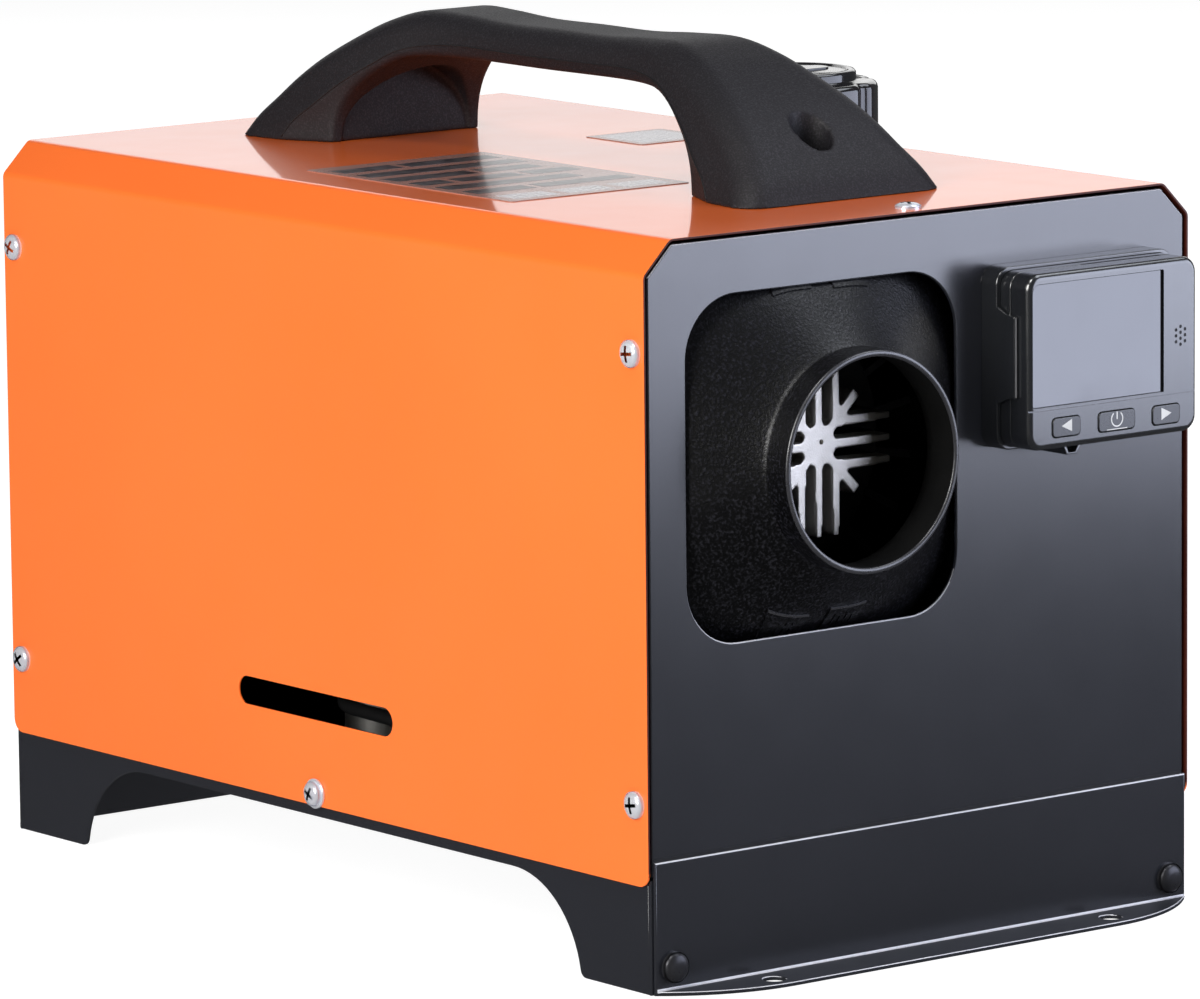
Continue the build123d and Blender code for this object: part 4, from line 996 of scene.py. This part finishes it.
def hoodPatch(name, xSpan, ySpan, way, low, high, material=shellPlastic):
    # closed patch that follows the wall between two heights above it; a span is low, high and steps
    xs, ys = ([a + (b - a) * i / steps for i in range(steps + 1)] for a, b, steps in (xSpan, ySpan))
    points = [hoodPoint(x, y, way, lift) for lift in (low, high) for y in ys for x in xs]
    columns, count = len(xs), len(ys)
    top = columns * count
    faces = grid(count, columns, False, False)
    faces += [tuple(top + face[k] for k in (0, 3, 2, 1)) for face in faces]
    last = top - columns
    border = [*range(columns), *range(2 * columns - 1, top, columns)]
    border += [*range(top - 2, last - 1, -1), *range(last - columns, 0, -columns)]
    faces += [(a, b, top + b, top + a) for a, b in zip(border, border[1:] + border[:1])]
    return paint(meshOf(name, points, faces), material)


def makeHoodPads():
    s = padSizes
    parts = []
    low, high = s.height - 0.1, s.height + s.markHeight
    for x0, x1, y0, y1, way, mark in s.pads:
        parts.append(hoodPatch("pad", (x0, x1, s.steps), (y0, y1, s.steps), way, -0.4, s.height))
        # painted highlight: a lighter strip along the upper edge of each lower pad
        if way < 0:
            padEdgeHighlight = (y0 - 0.2, y0 + 0.25, 1)
            parts.append(hoodPatch("padEdgeHighlight", (x0, x1, s.steps), padEdgeHighlight, way, 0.1, s.height + 0.15, paintedHighlightPlastic))
        marks = []
        if mark == "bars":
            for x in [x0 + (x1 - x0) * (0.36 + 0.16 * i) for i in range(3)]:
                marks += [((x, x + 1.0, 2), (3.6, 7.2, 4)), ((x + 0.3, x + 1.3, 2), (1.9, 2.7, 2))]
        if mark == "arches":
            for x in [x0 + (x1 - x0) * (0.22 + 0.34 * i) for i in range(2)]:
                marks.append(((x, x + 3.4, 4), (1.8, 2.5, 2)))
                marks += [((leg, leg + 0.7, 2), (2.4, 5.4, 4)) for leg in (x, x + 2.7)]
        for xSpan, (y, yEnd, steps) in marks:
            parts.append(hoodPatch("mark", xSpan, (y0 + y, y0 + yEnd, steps), way, low, high))
    finished(smoothShade(join("outletHoodPads", parts), 30), None)


makeHood()
makeHoodPads()

exchangerSizes = Sizes(
    front=-184.0, middle=-176.0, back=-160.0, starCentre=(-44.4, 177.0), hub=7.4, reach=31.0, pitch=7.5,
    root=4.2, tip=2.6, diagonal=23.5, diagonalThick=3.9, dimple=(0.9, 1.0), cup=46.0, cupBack=36.0,
    voxel=0.5, relax=5, boss=[(10.5, -70.0), (14.0, -70.0), (14.0, -40.0), (10.5, -40.0)],
    fins={"Count": 20, "Inner radius": 44.0, "Outer radius": 60.0, "Thickness": 2.5, "Length": 185.0,
          "First angle": radians(9), "Material": castingPaintedShade})


def starParts(front, back, thinner=0.0):
    # tapering fins: one each way from the hub, one on either side of it from the ends of the diagonals
    s = exchangerSizes
    cx, cz = s.starCentre
    root, tip, pitch, reach = s.root / 2 - thinner, s.tip / 2 - thinner, s.pitch, s.reach
    diagonal, thick = s.diagonal * sqrt(0.5), (s.diagonalThick / 2 - thinner) * sqrt(0.5)
    near, far = diagonal - thick, diagonal + thick
    bars = [[(0, -root), (reach, -tip), (reach, tip), (0, root)],
            [(pitch, pitch - root), (reach, pitch - tip), (reach, pitch + tip), (pitch, pitch + root)],
            [(pitch + root, pitch), (pitch + tip, reach), (pitch - tip, reach), (pitch - root, pitch)],
            [(thick, -thick), (far, near), (near, far), (-thick, thick)]]
    shapes = []
    for c, d in [(cos(t), sin(t)) for t in (0, pi / 2, pi, 1.5 * pi)]:
        shapes += [[(cx + c * u - d * v, cz + d * u + c * v) for u, v in bar] for bar in bars]
    shapes.append(circlePoints(cx, cz, s.hub - thinner, 48))
    return [prism("fin", shape, front, back) for shape in shapes]


def makeExchanger():
    s = exchangerSizes
    cx, cz = hoodSizes.axis
    starX, starZ = s.starCentre
    star = castSkin(join("exchangerStar", starParts(s.front, s.middle)), s.voxel, s.relax)
    radius, depth = s.dimple
    profile = [(0.01, s.front - 2.0), (radius, s.front - 2.0), (radius, s.front + depth),
               (0.01, s.front + depth + 0.4)]
    cut(star, [lathe("dimple", profile, (starX + 1.0, 0, starZ + 1.2), "Y", 24)])
    star.data.shade_smooth()
    star.data.set_sharp_from_angle(angle=radians(55))
    paint(star, starCasting)
    # painted shade: the fins behind the star's front, the cup and the cast fins take the dark casting paint
    behind = paint(join("starBehind", starParts(s.middle - 0.4, s.back + 1.0, 0.12)), castingPaintedShade)
    c, back = s.cup, s.back
    profile = [(0.01, back), (c - 3, back), (c - 0.9, back + 0.9), (c, back + 3), (c, s.cupBack),
               (c - 4, s.cupBack), (c - 4, back + 5), (0.01, back + 5)]
    cup = smoothShade(paint(lathe("cup", profile, (cx, 0, cz), "Y", 96, closed=False), castingPaintedShade))
    fins = shifted(radialTree.build("castFins", blank.copy(), s.fins), (cx, back + s.fins["Length"] / 2, cz))
    boss = smoothShade(paint(lathe("boss", s.boss, (cx, -15, cz), "Z", 48), castAluminium))
    finished(join("heatExchangerCasting", [star, behind, cup, fins, boss]), "heat_exchanger")


makeExchanger()
print("outlet and heat exchanger done")


# rear intake cap, fan and gland

# outside and inside: y and inset of rounded squares; hole: radius and y of circles between them
intakeSizes = Sizes(
    half=70, corner=35, perCorner=12, grilleY=176.5,
    outside=[(150.0, 0), (165.0, 0), (169.0, 0.5), (172.5, 1.8), (174.4, 3.6), (175.0, 5.5)],
    hole=[(52.5, 175.0), (52.2, 175.4), (52.0, 176.0), (52.0, 181.4), (51.7, 182.0), (50.3, 182.0),
          (50.0, 181.4), (50.0, 170.0)],
    inside=[(167.5, 2.5), (150.0, 2.5)],
    rings={"Count": 3, "First radius": 12.9, "Spacing": 12.0, "Width": 2.2, "Depth": 3.0,
           "Material": shellPlastic},
    spokes={"Count": 8, "Inner radius": 12.5, "Outer radius": 50.5, "Thickness": 2.2, "Length": 3.0,
            "Material": shellPlastic})
fanSizes = Sizes(
    hub=[(4.0, 120.0), (15.5, 120.0), (17.0, 121.5), (17.0, 142.0), (13.0, 145.0), (4.0, 145.0)],
    bladeY=132.5, blades={"Count": 9, "Inner radius": 14.0, "Outer radius": 52.0, "Thickness": 20.0,
                          "Length": 2.2,
            "Pitch": radians(38), "Material": shellPlastic})


def makeIntake():
    s = intakeSizes
    cx, cz = hoodSizes.axis
    outside, inside = ([(y, s.half - inset, s.corner - inset) for y, inset in rows]
                       for rows in (s.outside, s.inside))
    stations = outside + [(y, radius, radius) for radius, y in s.hole] + inside
    cap = loft("intakeBody", [squareRing(*station, s.perCorner) for station in stations], closed=True)
    parts = [smoothShade(paint(cap, shellPlastic))]
    for name, tree, values in (("circles", ringTree, s.rings), ("spokes", radialTree, s.spokes)):
        parts.append(shifted(tree.build(name, blank.copy(), values), (cx, s.grilleY, cz)))
    finished(join("intakeCapGrille", parts), "inlet_cap")
    hub = smoothShade(paint(lathe("fanHub", fanSizes.hub, (cx, 0, cz), "Y", 64), shellPlastic))
    blades = shifted(radialTree.build("fanBlades", blank.copy(), fanSizes.blades), (cx, fanSizes.bladeY, cz))
    finished(join("warmAirFanWheel", [hub, blades]), "warm_air_fan", "rotor")


makeIntake()

glandSizes = Sizes(
    centre=(75.0, 70.0), nut=10.0, bore=6.0, thick=4.0, nutY=181.5,
    body=[(3.6, 178.0), (6.0, 178.0), (6.0, 185.0), (9.3, 185.0), (9.5, 185.3), (9.5, 188.7), (9.2, 189.0),
          (8.2, 189.0), (7.9, 190.5), (7.5, 192.0), (7.0, 197.0), (6.2, 198.6), (5.2, 199.0), (3.6, 199.0)])


def makeGland():
    s = glandSizes
    x, z = s.centre
    outlines = [circlePoints(x, z, s.nut, 6), circlePoints(x, z, s.bore)]
    nut = plate("glandNut", outlines, s.thick, facingFront(s.nutY), 0.4)
    body = lathe("glandBody", s.body, (x, 0, z), "Y", 64)
    parts = [smoothShade(paint(part, glandNylon)) for part in (body, nut)]
    finished(join("cableGlandSet", parts), "cable_gland")


makeGland()
print("rear parts done")


# pipes under the floor

stubSizes = Sizes(x=-43.5, profile=[
    (10.5, 16.0), (11.7, 16.0), (12.0, 16.3), (12.0, 32.4), (12.6, 33.0), (13.5, 34.2), (13.5, 34.8),
    (12.6, 36.0), (12.0, 36.6), (12.0, 104.4), (10.5, 104.4)])


def makeStub(name, y, material):
    pipe = lathe(name + "Tube", stubSizes.profile, (stubSizes.x, y, 0), "Z", 72)
    finished(smoothShade(paint(pipe, material), 45), name)


makeStub("exhaust_pipe", -15.0, drawnSteel)
makeStub("combustion_air_pipe", 66.0, castAluminium)


# filler cap and its gasket

capSizes = Sizes(
    centre=(74.0, -27.0), radius=30.7, low=255.0, shoulder=277.6, disc=23.0, top=281.6, lobes=8, groove=3.2,
    grooveDepth=2.4, bore=23.5, ceiling=264.0, firstLobe=20.0, around=256, grip=(15.5, 4.5, 4.0),
    seal=[(19.2, 262.0), (22.8, 262.0), (23.0, 262.3), (23.0, 263.7), (22.8, 264.0), (19.2, 264.0),
          (19.0, 263.7), (19.0, 262.3)])


def makeFillerCap():
    s = capSizes
    cx, cy = s.centre

    def rim(scaleDown, z):
        # lobed outline: round grooves between broad flat lobes
        step, width = 2 * pi / s.lobes, s.groove * 1.5
        ring = []
        for turn in [2 * pi * i / s.around for i in range(s.around)]:
            across = abs((turn - radians(s.firstLobe) + step / 2) % step - step / 2) * s.radius
            dip = s.grooveDepth * 0.5 * (1 + cos(pi * across / width)) if across < width else 0.0
            radius = s.radius - dip - scaleDown
            ring.append((cx + radius * cos(turn), cy + radius * sin(turn), z))
        return ring

    def circle(radius, z):
        return [(u, v, z) for u, v in circlePoints(cx, cy, radius, s.around)]

    low, shoulder, disc, top = s.low, s.shoulder, s.disc, s.top
    rims = [(1.0, low), (0.3, low + 0.3), (0.0, low + 1.0), (0.0, shoulder - 2.5), (0.25, shoulder - 1.5),
            (0.8, shoulder - 0.7), (1.6, shoulder - 0.2), (2.6, shoulder)]
    circles = [(disc + 3.0, shoulder), (disc + 0.6, shoulder + 0.2), (disc, shoulder + 0.8),
               (disc - 0.1, top - 1.0), (disc - 0.7, top - 0.2), (disc - 1.6, top), (disc - 3.0, top),
               (disc - 3.6, top - 0.6), (0.01, top - 0.6), (0.01, s.ceiling), (s.bore, s.ceiling)]
    rings = [circle(s.bore, low)] + [rim(*row) for row in rims] + [circle(*row) for row in circles]
    cap = smoothShade(paint(loft("fillerCapBody", rings, closed=True), capPlastic), 50)
    grip = shifted(prism("gripBar", roundedRing(*s.grip, 8), top - 1.0, top - 0.02, "Z"), (cx, cy, 0))
    grip = smoothShade(paint(softenEdges(grip, 0.35), capPlastic))
    finished(join("fillerCapKnob", [cap, grip]), "filler_cap", "cap")
    seal = paint(lathe("capSealRing", s.seal, (cx, cy, 0), "Z", 96), sealRubber)
    finished(smoothShade(seal), "cap_gasket", "cap_seal")


makeFillerCap()
print("filler cap done")


# labels on the top, without lettering

labelSizes = Sizes(
    data=(-89.0, -11.0, -75.0, 43.0), small=(44.0, 79.0, 21.0, 54.0), z=252.5, thick=0.26, ink=0.03, rows=6,
    firstRow=24, rowPitch=15.2, barWidth=9.5, fields=3, fieldPitch=24.0,
    bars=[[(4, 30), (33, 73)], [(4, 62)], [(4, 18), (21, 49), (52, 73)], [(4, 40), (43, 68)], [(4, 73)]])


def makeLabels():
    s = labelSizes

    def sheet(name, x0, x1, y0, y1, z, thick, material, radius=1.5):
        ring = roundedRing((x1 - x0) / 2, (y1 - y0) / 2, radius, 4)
        shape = [(u + (x0 + x1) / 2, v + (y0 + y1) / 2) for u, v in ring]
        return paint(prism(name, shape, z, z + thick, "Z"), material)

    x0, x1, y0, y1 = s.data
    surface = s.z + s.thick
    parts = [sheet("dataFilm", x0, x1, y0, y1, s.z, s.thick, labelFilm)]
    for row in range(s.rows):  # ruled rows of plain bars, no lettering
        y = y0 + s.firstRow + row * s.rowPitch
        for start, stop in s.bars[row % len(s.bars)]:
            parts.append(sheet("rule", x0 + start, x0 + stop, y, y + s.barWidth, surface, s.ink, labelInk,
                               0.2))
    for x in [x0 + 5 + column * s.fieldPitch for column in range(s.fields)]:
        parts.append(sheet("field", x, x + 20, y0 + 4, y0 + 16, surface, s.ink, labelField, 1.0))
    finished(smoothShade(join("dataLabel", parts)), "data_plate")
    x0, x1, y0, y1 = s.small
    parts = [sheet("smallFilm", x0, x1, y0, y1, s.z, s.thick, labelFilm),
             sheet("smallField", x0 + 3, x1 - 3, y0 + 3, y1 - 3, surface, s.ink, labelField, 1.0)]
    finished(smoothShade(join("smallLabel", parts)), "small_plate")


makeLabels()
print("labels done")


# display controller

controllerSizes = Sizes(
    centre=(66.2, 199.8), width=76.4, height=60.3, face=-207.5, split=-198.5, back=-190.0, corner=5.5,
    frontFillet=2.2, backFillet=3.0, window=(29.6, 89.0, 184.4, 226.6), paneRadii=(0.6, 3.2, 0.8, 0.4),
    glassRight=87.6, glassRadii=(0.4, 3.0, 0.7, 0.3), seamZ=183.4, topSlot=(60.0, 96.0),
    buttons={"left_button": (44.6, 177.0, 12.4, 6.5), "power_button": (67.3, 176.8, 16.4, 6.7),
             "right_button": (89.8, 176.6, 12.4, 6.5)},
    proud=0.45, speaker=(96.6, 203.15, 2.05, 2.05, 0.62),
    speakerRows=((-1, (-1, 0, 1)), (0, (-1.5, -0.5, 0.5, 1.5)), (1, (-1, 0, 1))),
    symbolLift=0.03, powerRing=(2.3, 2.75, 38), powerStem=(0.24, 0.5, 3.1), lightBar=(4.6, 3.0, 0.3),
    arrow=(2.3, 2.1))


def paneOutline(x0, x1, z0, z1, radii):
    # window shape with its own radius at each corner: top right, top left, bottom left, bottom right
    return filletedRing(list(zip(((x1, z1), (x0, z1), (x0, z0), (x1, z0)), radii)), 8)


def keySymbol(node, x, z):
    s = controllerSizes
    if node == "power_button":
        inner, outer, opening = s.powerRing
        start, stop = 90 - opening, opening - 270
        ring = arc(x, z + 0.6, outer, start, stop, 40) + arc(x, z + 0.6, inner, stop, start, 40)
        half, low, high = s.powerStem
        barHalf, below, thick = s.lightBar
        return [ring, rectangle(x - half, x + half, z + low, z + high),
                rectangle(x - barHalf, x + barHalf, z - below, z - below + thick)]
    length, height = s.arrow
    point = -length if node == "left_button" else length
    return [[(x + point, z + 0.4), (x - point, z + 0.4 + height), (x - point, z + 0.4 - height)]]


def makeController():
    s = controllerSizes
    face, split = s.face, s.split
    front = roundedBox("controllerFace", s.centre, s.width, s.height, (face, split), s.corner, s.frontFillet,
                       0.25)
    x0, x1, z0, z1 = s.window
    left, right = s.centre[0] - s.width / 2, s.centre[0] + s.width / 2
    seam = rectangle(left - 1, right + 1, s.seamZ - 0.25, s.seamZ + 0.25)
    cutters = [prism("recess", paneOutline(x0, x1, z0, z1, s.paneRadii), face - 1, face + 1.0),
               prism("seam", seam, face - 1, face + 0.9)]
    for x, z, width, height in s.buttons.values():
        cutters.append(roundedBox("keyHole", (x, z), width + 0.7, height + 0.7, (face - 1, face + 2.6), 1.9))
    cutters.append(roundedBox("hollow", s.centre, s.width - 5, s.height - 5, (face + 2.4, split + 1), 3.5))
    cx, cz, dx, dz, hole = s.speaker
    spots = [circlePoints(cx + column * dx, cz + row * dz, hole, 16)
             for column, rows in s.speakerRows for row in rows]
    cutters += [prism("soundHole", spot, face - 1, face + 3) for spot in spots]
    smoothShade(paint(cut(front, cutters), casePlastic), 30)
    # painted shade: near black floors just inside the sound holes
    floors = [paint(prism("soundHoleShadeFloor", spot, face + 0.12, face + 0.3), paintedShadeBlack) for spot in spots]
    finished(join("controllerFace", [front] + floors), "controller_front")

    back = (split + 0.35, s.back)
    rear = roundedBox("controllerRear", s.centre, s.width, s.height, back, s.corner, 0.5, s.backFillet)
    top = s.centre[1] + s.height / 2
    cut(rear, [prism("topSlot", rectangle(*s.topSlot, top - 2.0, top + 1.0), split, split + 1.4)])
    finished(smoothShade(paint(rear, casePlastic)), "controller_back")

    pane = paneOutline(x0 + 0.15, s.glassRight, z0 + 0.15, z1 - 0.15, s.glassRadii)
    glass = softenEdges(prism("screenPane", pane, face + 0.12, face + 0.98), 0.2)
    glass = smoothShade(paint(glass, screenGloss))
    # painted shade: a near black strip in the gap right of the screen glass
    gap = rectangle(s.glassRight + 0.1, x1 - 0.1, z0 + 0.2, z1 - 0.2)
    strip = paint(prism("windowGapShadeStrip", gap, face + 0.9, face + 0.99), paintedShadeBlack)
    finished(join("displayWindowPane", [glass, strip]), "display_window")

    surface = face - s.proud
    for node, (x, z, width, height) in s.buttons.items():
        parts = [paint(roundedBox("key", (x, z), width, height, (surface, face + 3.0), 1.6, 0.3),
                       keyPlastic)]
        for shape in keySymbol(node, x, z):
            parts.append(paint(prism("symbol", shape, surface - s.symbolLift, surface + 0.1), symbolInk))
        key = smoothShade(join(node + "Cap", parts))
        finished(key, node, node.replace("button", "key"))


makeController()

cradleSizes = Sizes(
    x=(26.3, 106.1), z=(168.6, 231.2), y=(-193.0, -185.0), corner=6.0, clearance=0.2, tabFront=-202.0,
    tabBack=-189.0, tabZ=(187.5, 215.5), flare=2.6, sheet=1.45, inset=0.03, lowerFront=-201.0,
    lowerTab=[(50.6, 165.9), (55.2, 165.9), (57.4, 169.5), (49.1, 169.5)],
    lowerPocket=[(51.5, 166.7), (54.6, 166.7), (55.8, 169.0), (50.6, 169.0)])


def tabOutline():
    # side tab seen from the side: straight front, hollow curves back to the rim
    s = cradleSizes
    low, high = s.tabZ
    reach = s.y[0] - 0.5 - s.tabFront
    radius = (reach ** 2 + s.flare ** 2) / (2 * s.flare)
    curve = arc(s.tabFront, radius, radius, -90, degrees(asin(reach / radius)) - 90, 8)
    outline = [(y, low - rise) for y, rise in reversed(curve)] + [(y, high + rise) for y, rise in curve]
    return outline + [(s.tabBack, high + s.flare), (s.tabBack, low - s.flare)]


def makeCradle():
    s, c = cradleSizes, controllerSizes
    (x0, x1), (z0, z1), (y0, y1) = s.x, s.z, s.y
    gap, (low, high), front = 2 * s.clearance, s.tabZ, s.tabFront
    body = roundedBox("cradle", ((x0 + x1) / 2, (z0 + z1) / 2), x1 - x0, z1 - z0, (y0, y1), s.corner, 0.5,
                      0.3)
    depth = (y0 - 20, c.back + 0.05)
    parts = [cut(body, [roundedBox("hollow", c.centre, c.width + gap, c.height + gap, depth, c.corner)])]
    edges = []
    for inner in (x0 + s.inset, x1 - s.sheet - s.inset):
        parts.append(softenEdges(prism("sideTab", tabOutline(), inner, inner + s.sheet, "X"), 0.45, 3, 50))
        middle, depth = (inner + s.sheet / 2, (low + high) / 2), (front - 0.06, front + 0.5)
        # painted highlight: a light grey strip along each tab's front edge
        edges.append(paint(roundedBox("tabEdge", middle, 0.7, high - low - 0.8, depth, 0.3), tabPaintedHighlight))
    pocket = prism("lowerPocket", s.lowerPocket, s.lowerFront - 1, s.lowerFront + 5)
    parts.append(softenEdges(cut(prism("lowerTab", s.lowerTab, s.lowerFront, y1), [pocket]), 0.25))
    parts = [smoothShade(paint(part, casePlastic)) for part in parts]
    finished(join("controllerCradleBracket", parts + edges), "controller_cradle")


makeCradle()
print("controller done")


# floor, light and camera

stageSizes = Sizes(floorHalf=6.0, floorZ=-0.0002, glow=0.94, domeRadius=9.0, domeGlow=1.0,
                   white=(1.0, 1.0, 1.0))


def makeStage():
    s = stageSizes
    sheet = bpy.data.meshes.new("floor")
    border = rectangle(-s.floorHalf, s.floorHalf, -s.floorHalf, s.floorHalf)
    sheet.from_pydata([(x, y, s.floorZ) for x, y in border], [], [(0, 1, 2, 3)])
    floor = addObject("studioFloor", sheet)
    shader = Shader("studioFloorPaper")
    paper = shader.blend(shader.noise(3, 2), (0.27, 0.27, 0.27), (0.26, 0.26, 0.262))
    paint(floor, shader.put(colour=paper, rough=0.6, emission=s.white, emissionPower=s.glow))
    floor.visible_glossy = False
    ball = bpy.data.meshes.new("dome")
    work = bmesh.new()
    bmesh.ops.create_uvsphere(work, u_segments=48, v_segments=24, radius=s.domeRadius)
    bmesh.ops.reverse_faces(work, faces=work.faces)
    work.to_mesh(ball)
    work.free()
    dome = addObject("studioBackdrop", ball)
    paint(dome, Shader("studioBackdropPaper").put(colour=(0.0, 0.0, 0.0), rough=1.0, specular=0.0,
                                                  emission=s.white, emissionPower=s.domeGlow))
    for flag in ("diffuse", "glossy", "transmission", "shadow"):
        setattr(dome, "visible_" + flag, False)


makeStage()

# area lights: place, aim, size, watts and tint
lightSizes = {
    "key": ((-1.25, -0.40, 0.64), (-0.12, -0.10, 0.15), (0.7, 0.7), 17, (1.0, 0.99, 0.97)),
    "overhead": ((0.75, -0.42, 1.50), (0, -0.15, 0.2), (1.0, 0.6), 6.5, (0.88, 0.92, 1.0)),
    "panelStrip": ((0.60, -0.68, 0.350), (0.14, -0.098, 0.350), (0.72, 0.58), 5.4, (0.76, 0.81, 1.0)),
    "cornerSoft": ((-0.45, -0.45, 1.25), (0, -0.13, 0.28), (0.32, 0.32), 4.8, (1.0, 1.0, 1.0)),
    "backCard": ((1.7, 2.2, 1.12), (0, 0, 0.5), (2.6, 1.3), 12, (1.0, 1.0, 1.0)),
}
worldGlow = 0.06


def makeLights():
    for name, (place, aim, size, watts, tint) in lightSizes.items():
        data = bpy.data.lights.new(name, "AREA")
        data.shape, (data.size, data.size_y), data.energy, data.color = "RECTANGLE", size, watts, tint
        light = addObject(name, data)
        light.location = place
        light.rotation_euler = (Vector(aim) - Vector(place)).to_track_quat("-Z", "Y").to_euler()
        light.visible_camera = False
    world = bpy.data.worlds.new("studio")
    world.use_nodes = True
    background = world.node_tree.nodes["Background"].inputs
    background["Color"].default_value = (1.0, 1.0, 1.0, 1)
    background["Strength"].default_value = worldGlow
    scene.world = world


makeLights()
scene.view_settings.view_transform = "Standard"

cameraSizes = Sizes(azimuth=-38.16, elevation=9.28, roll=-0.57, at=(-1.8359, -2.3452, 0.6181),
                    focalPixels=8507.4, framePixels=1200)


def makeCamera():
    s = cameraSizes
    azimuth, elevation, roll = (radians(angle) for angle in (s.azimuth, s.elevation, s.roll))
    back = Vector((sin(azimuth) * cos(elevation), -cos(azimuth) * cos(elevation), sin(elevation)))
    right = (-back).cross(Vector((0, 0, 1))).normalized()
    up = right.cross(-back)
    tiltedRight, tiltedUp = right * cos(roll) + up * sin(roll), up * cos(roll) - right * sin(roll)
    data = bpy.data.cameras.new("photoCamera")
    data.sensor_width = 36.0
    data.lens = s.focalPixels * data.sensor_width / s.framePixels
    data.clip_end = 50.0
    camera = addObject("photoCamera", data)
    turn = Matrix((tiltedRight, tiltedUp, back)).transposed().to_4x4()
    camera.matrix_world = Matrix.Translation(s.at) @ turn
    scene.camera = camera


makeCamera()
print("light and camera done")
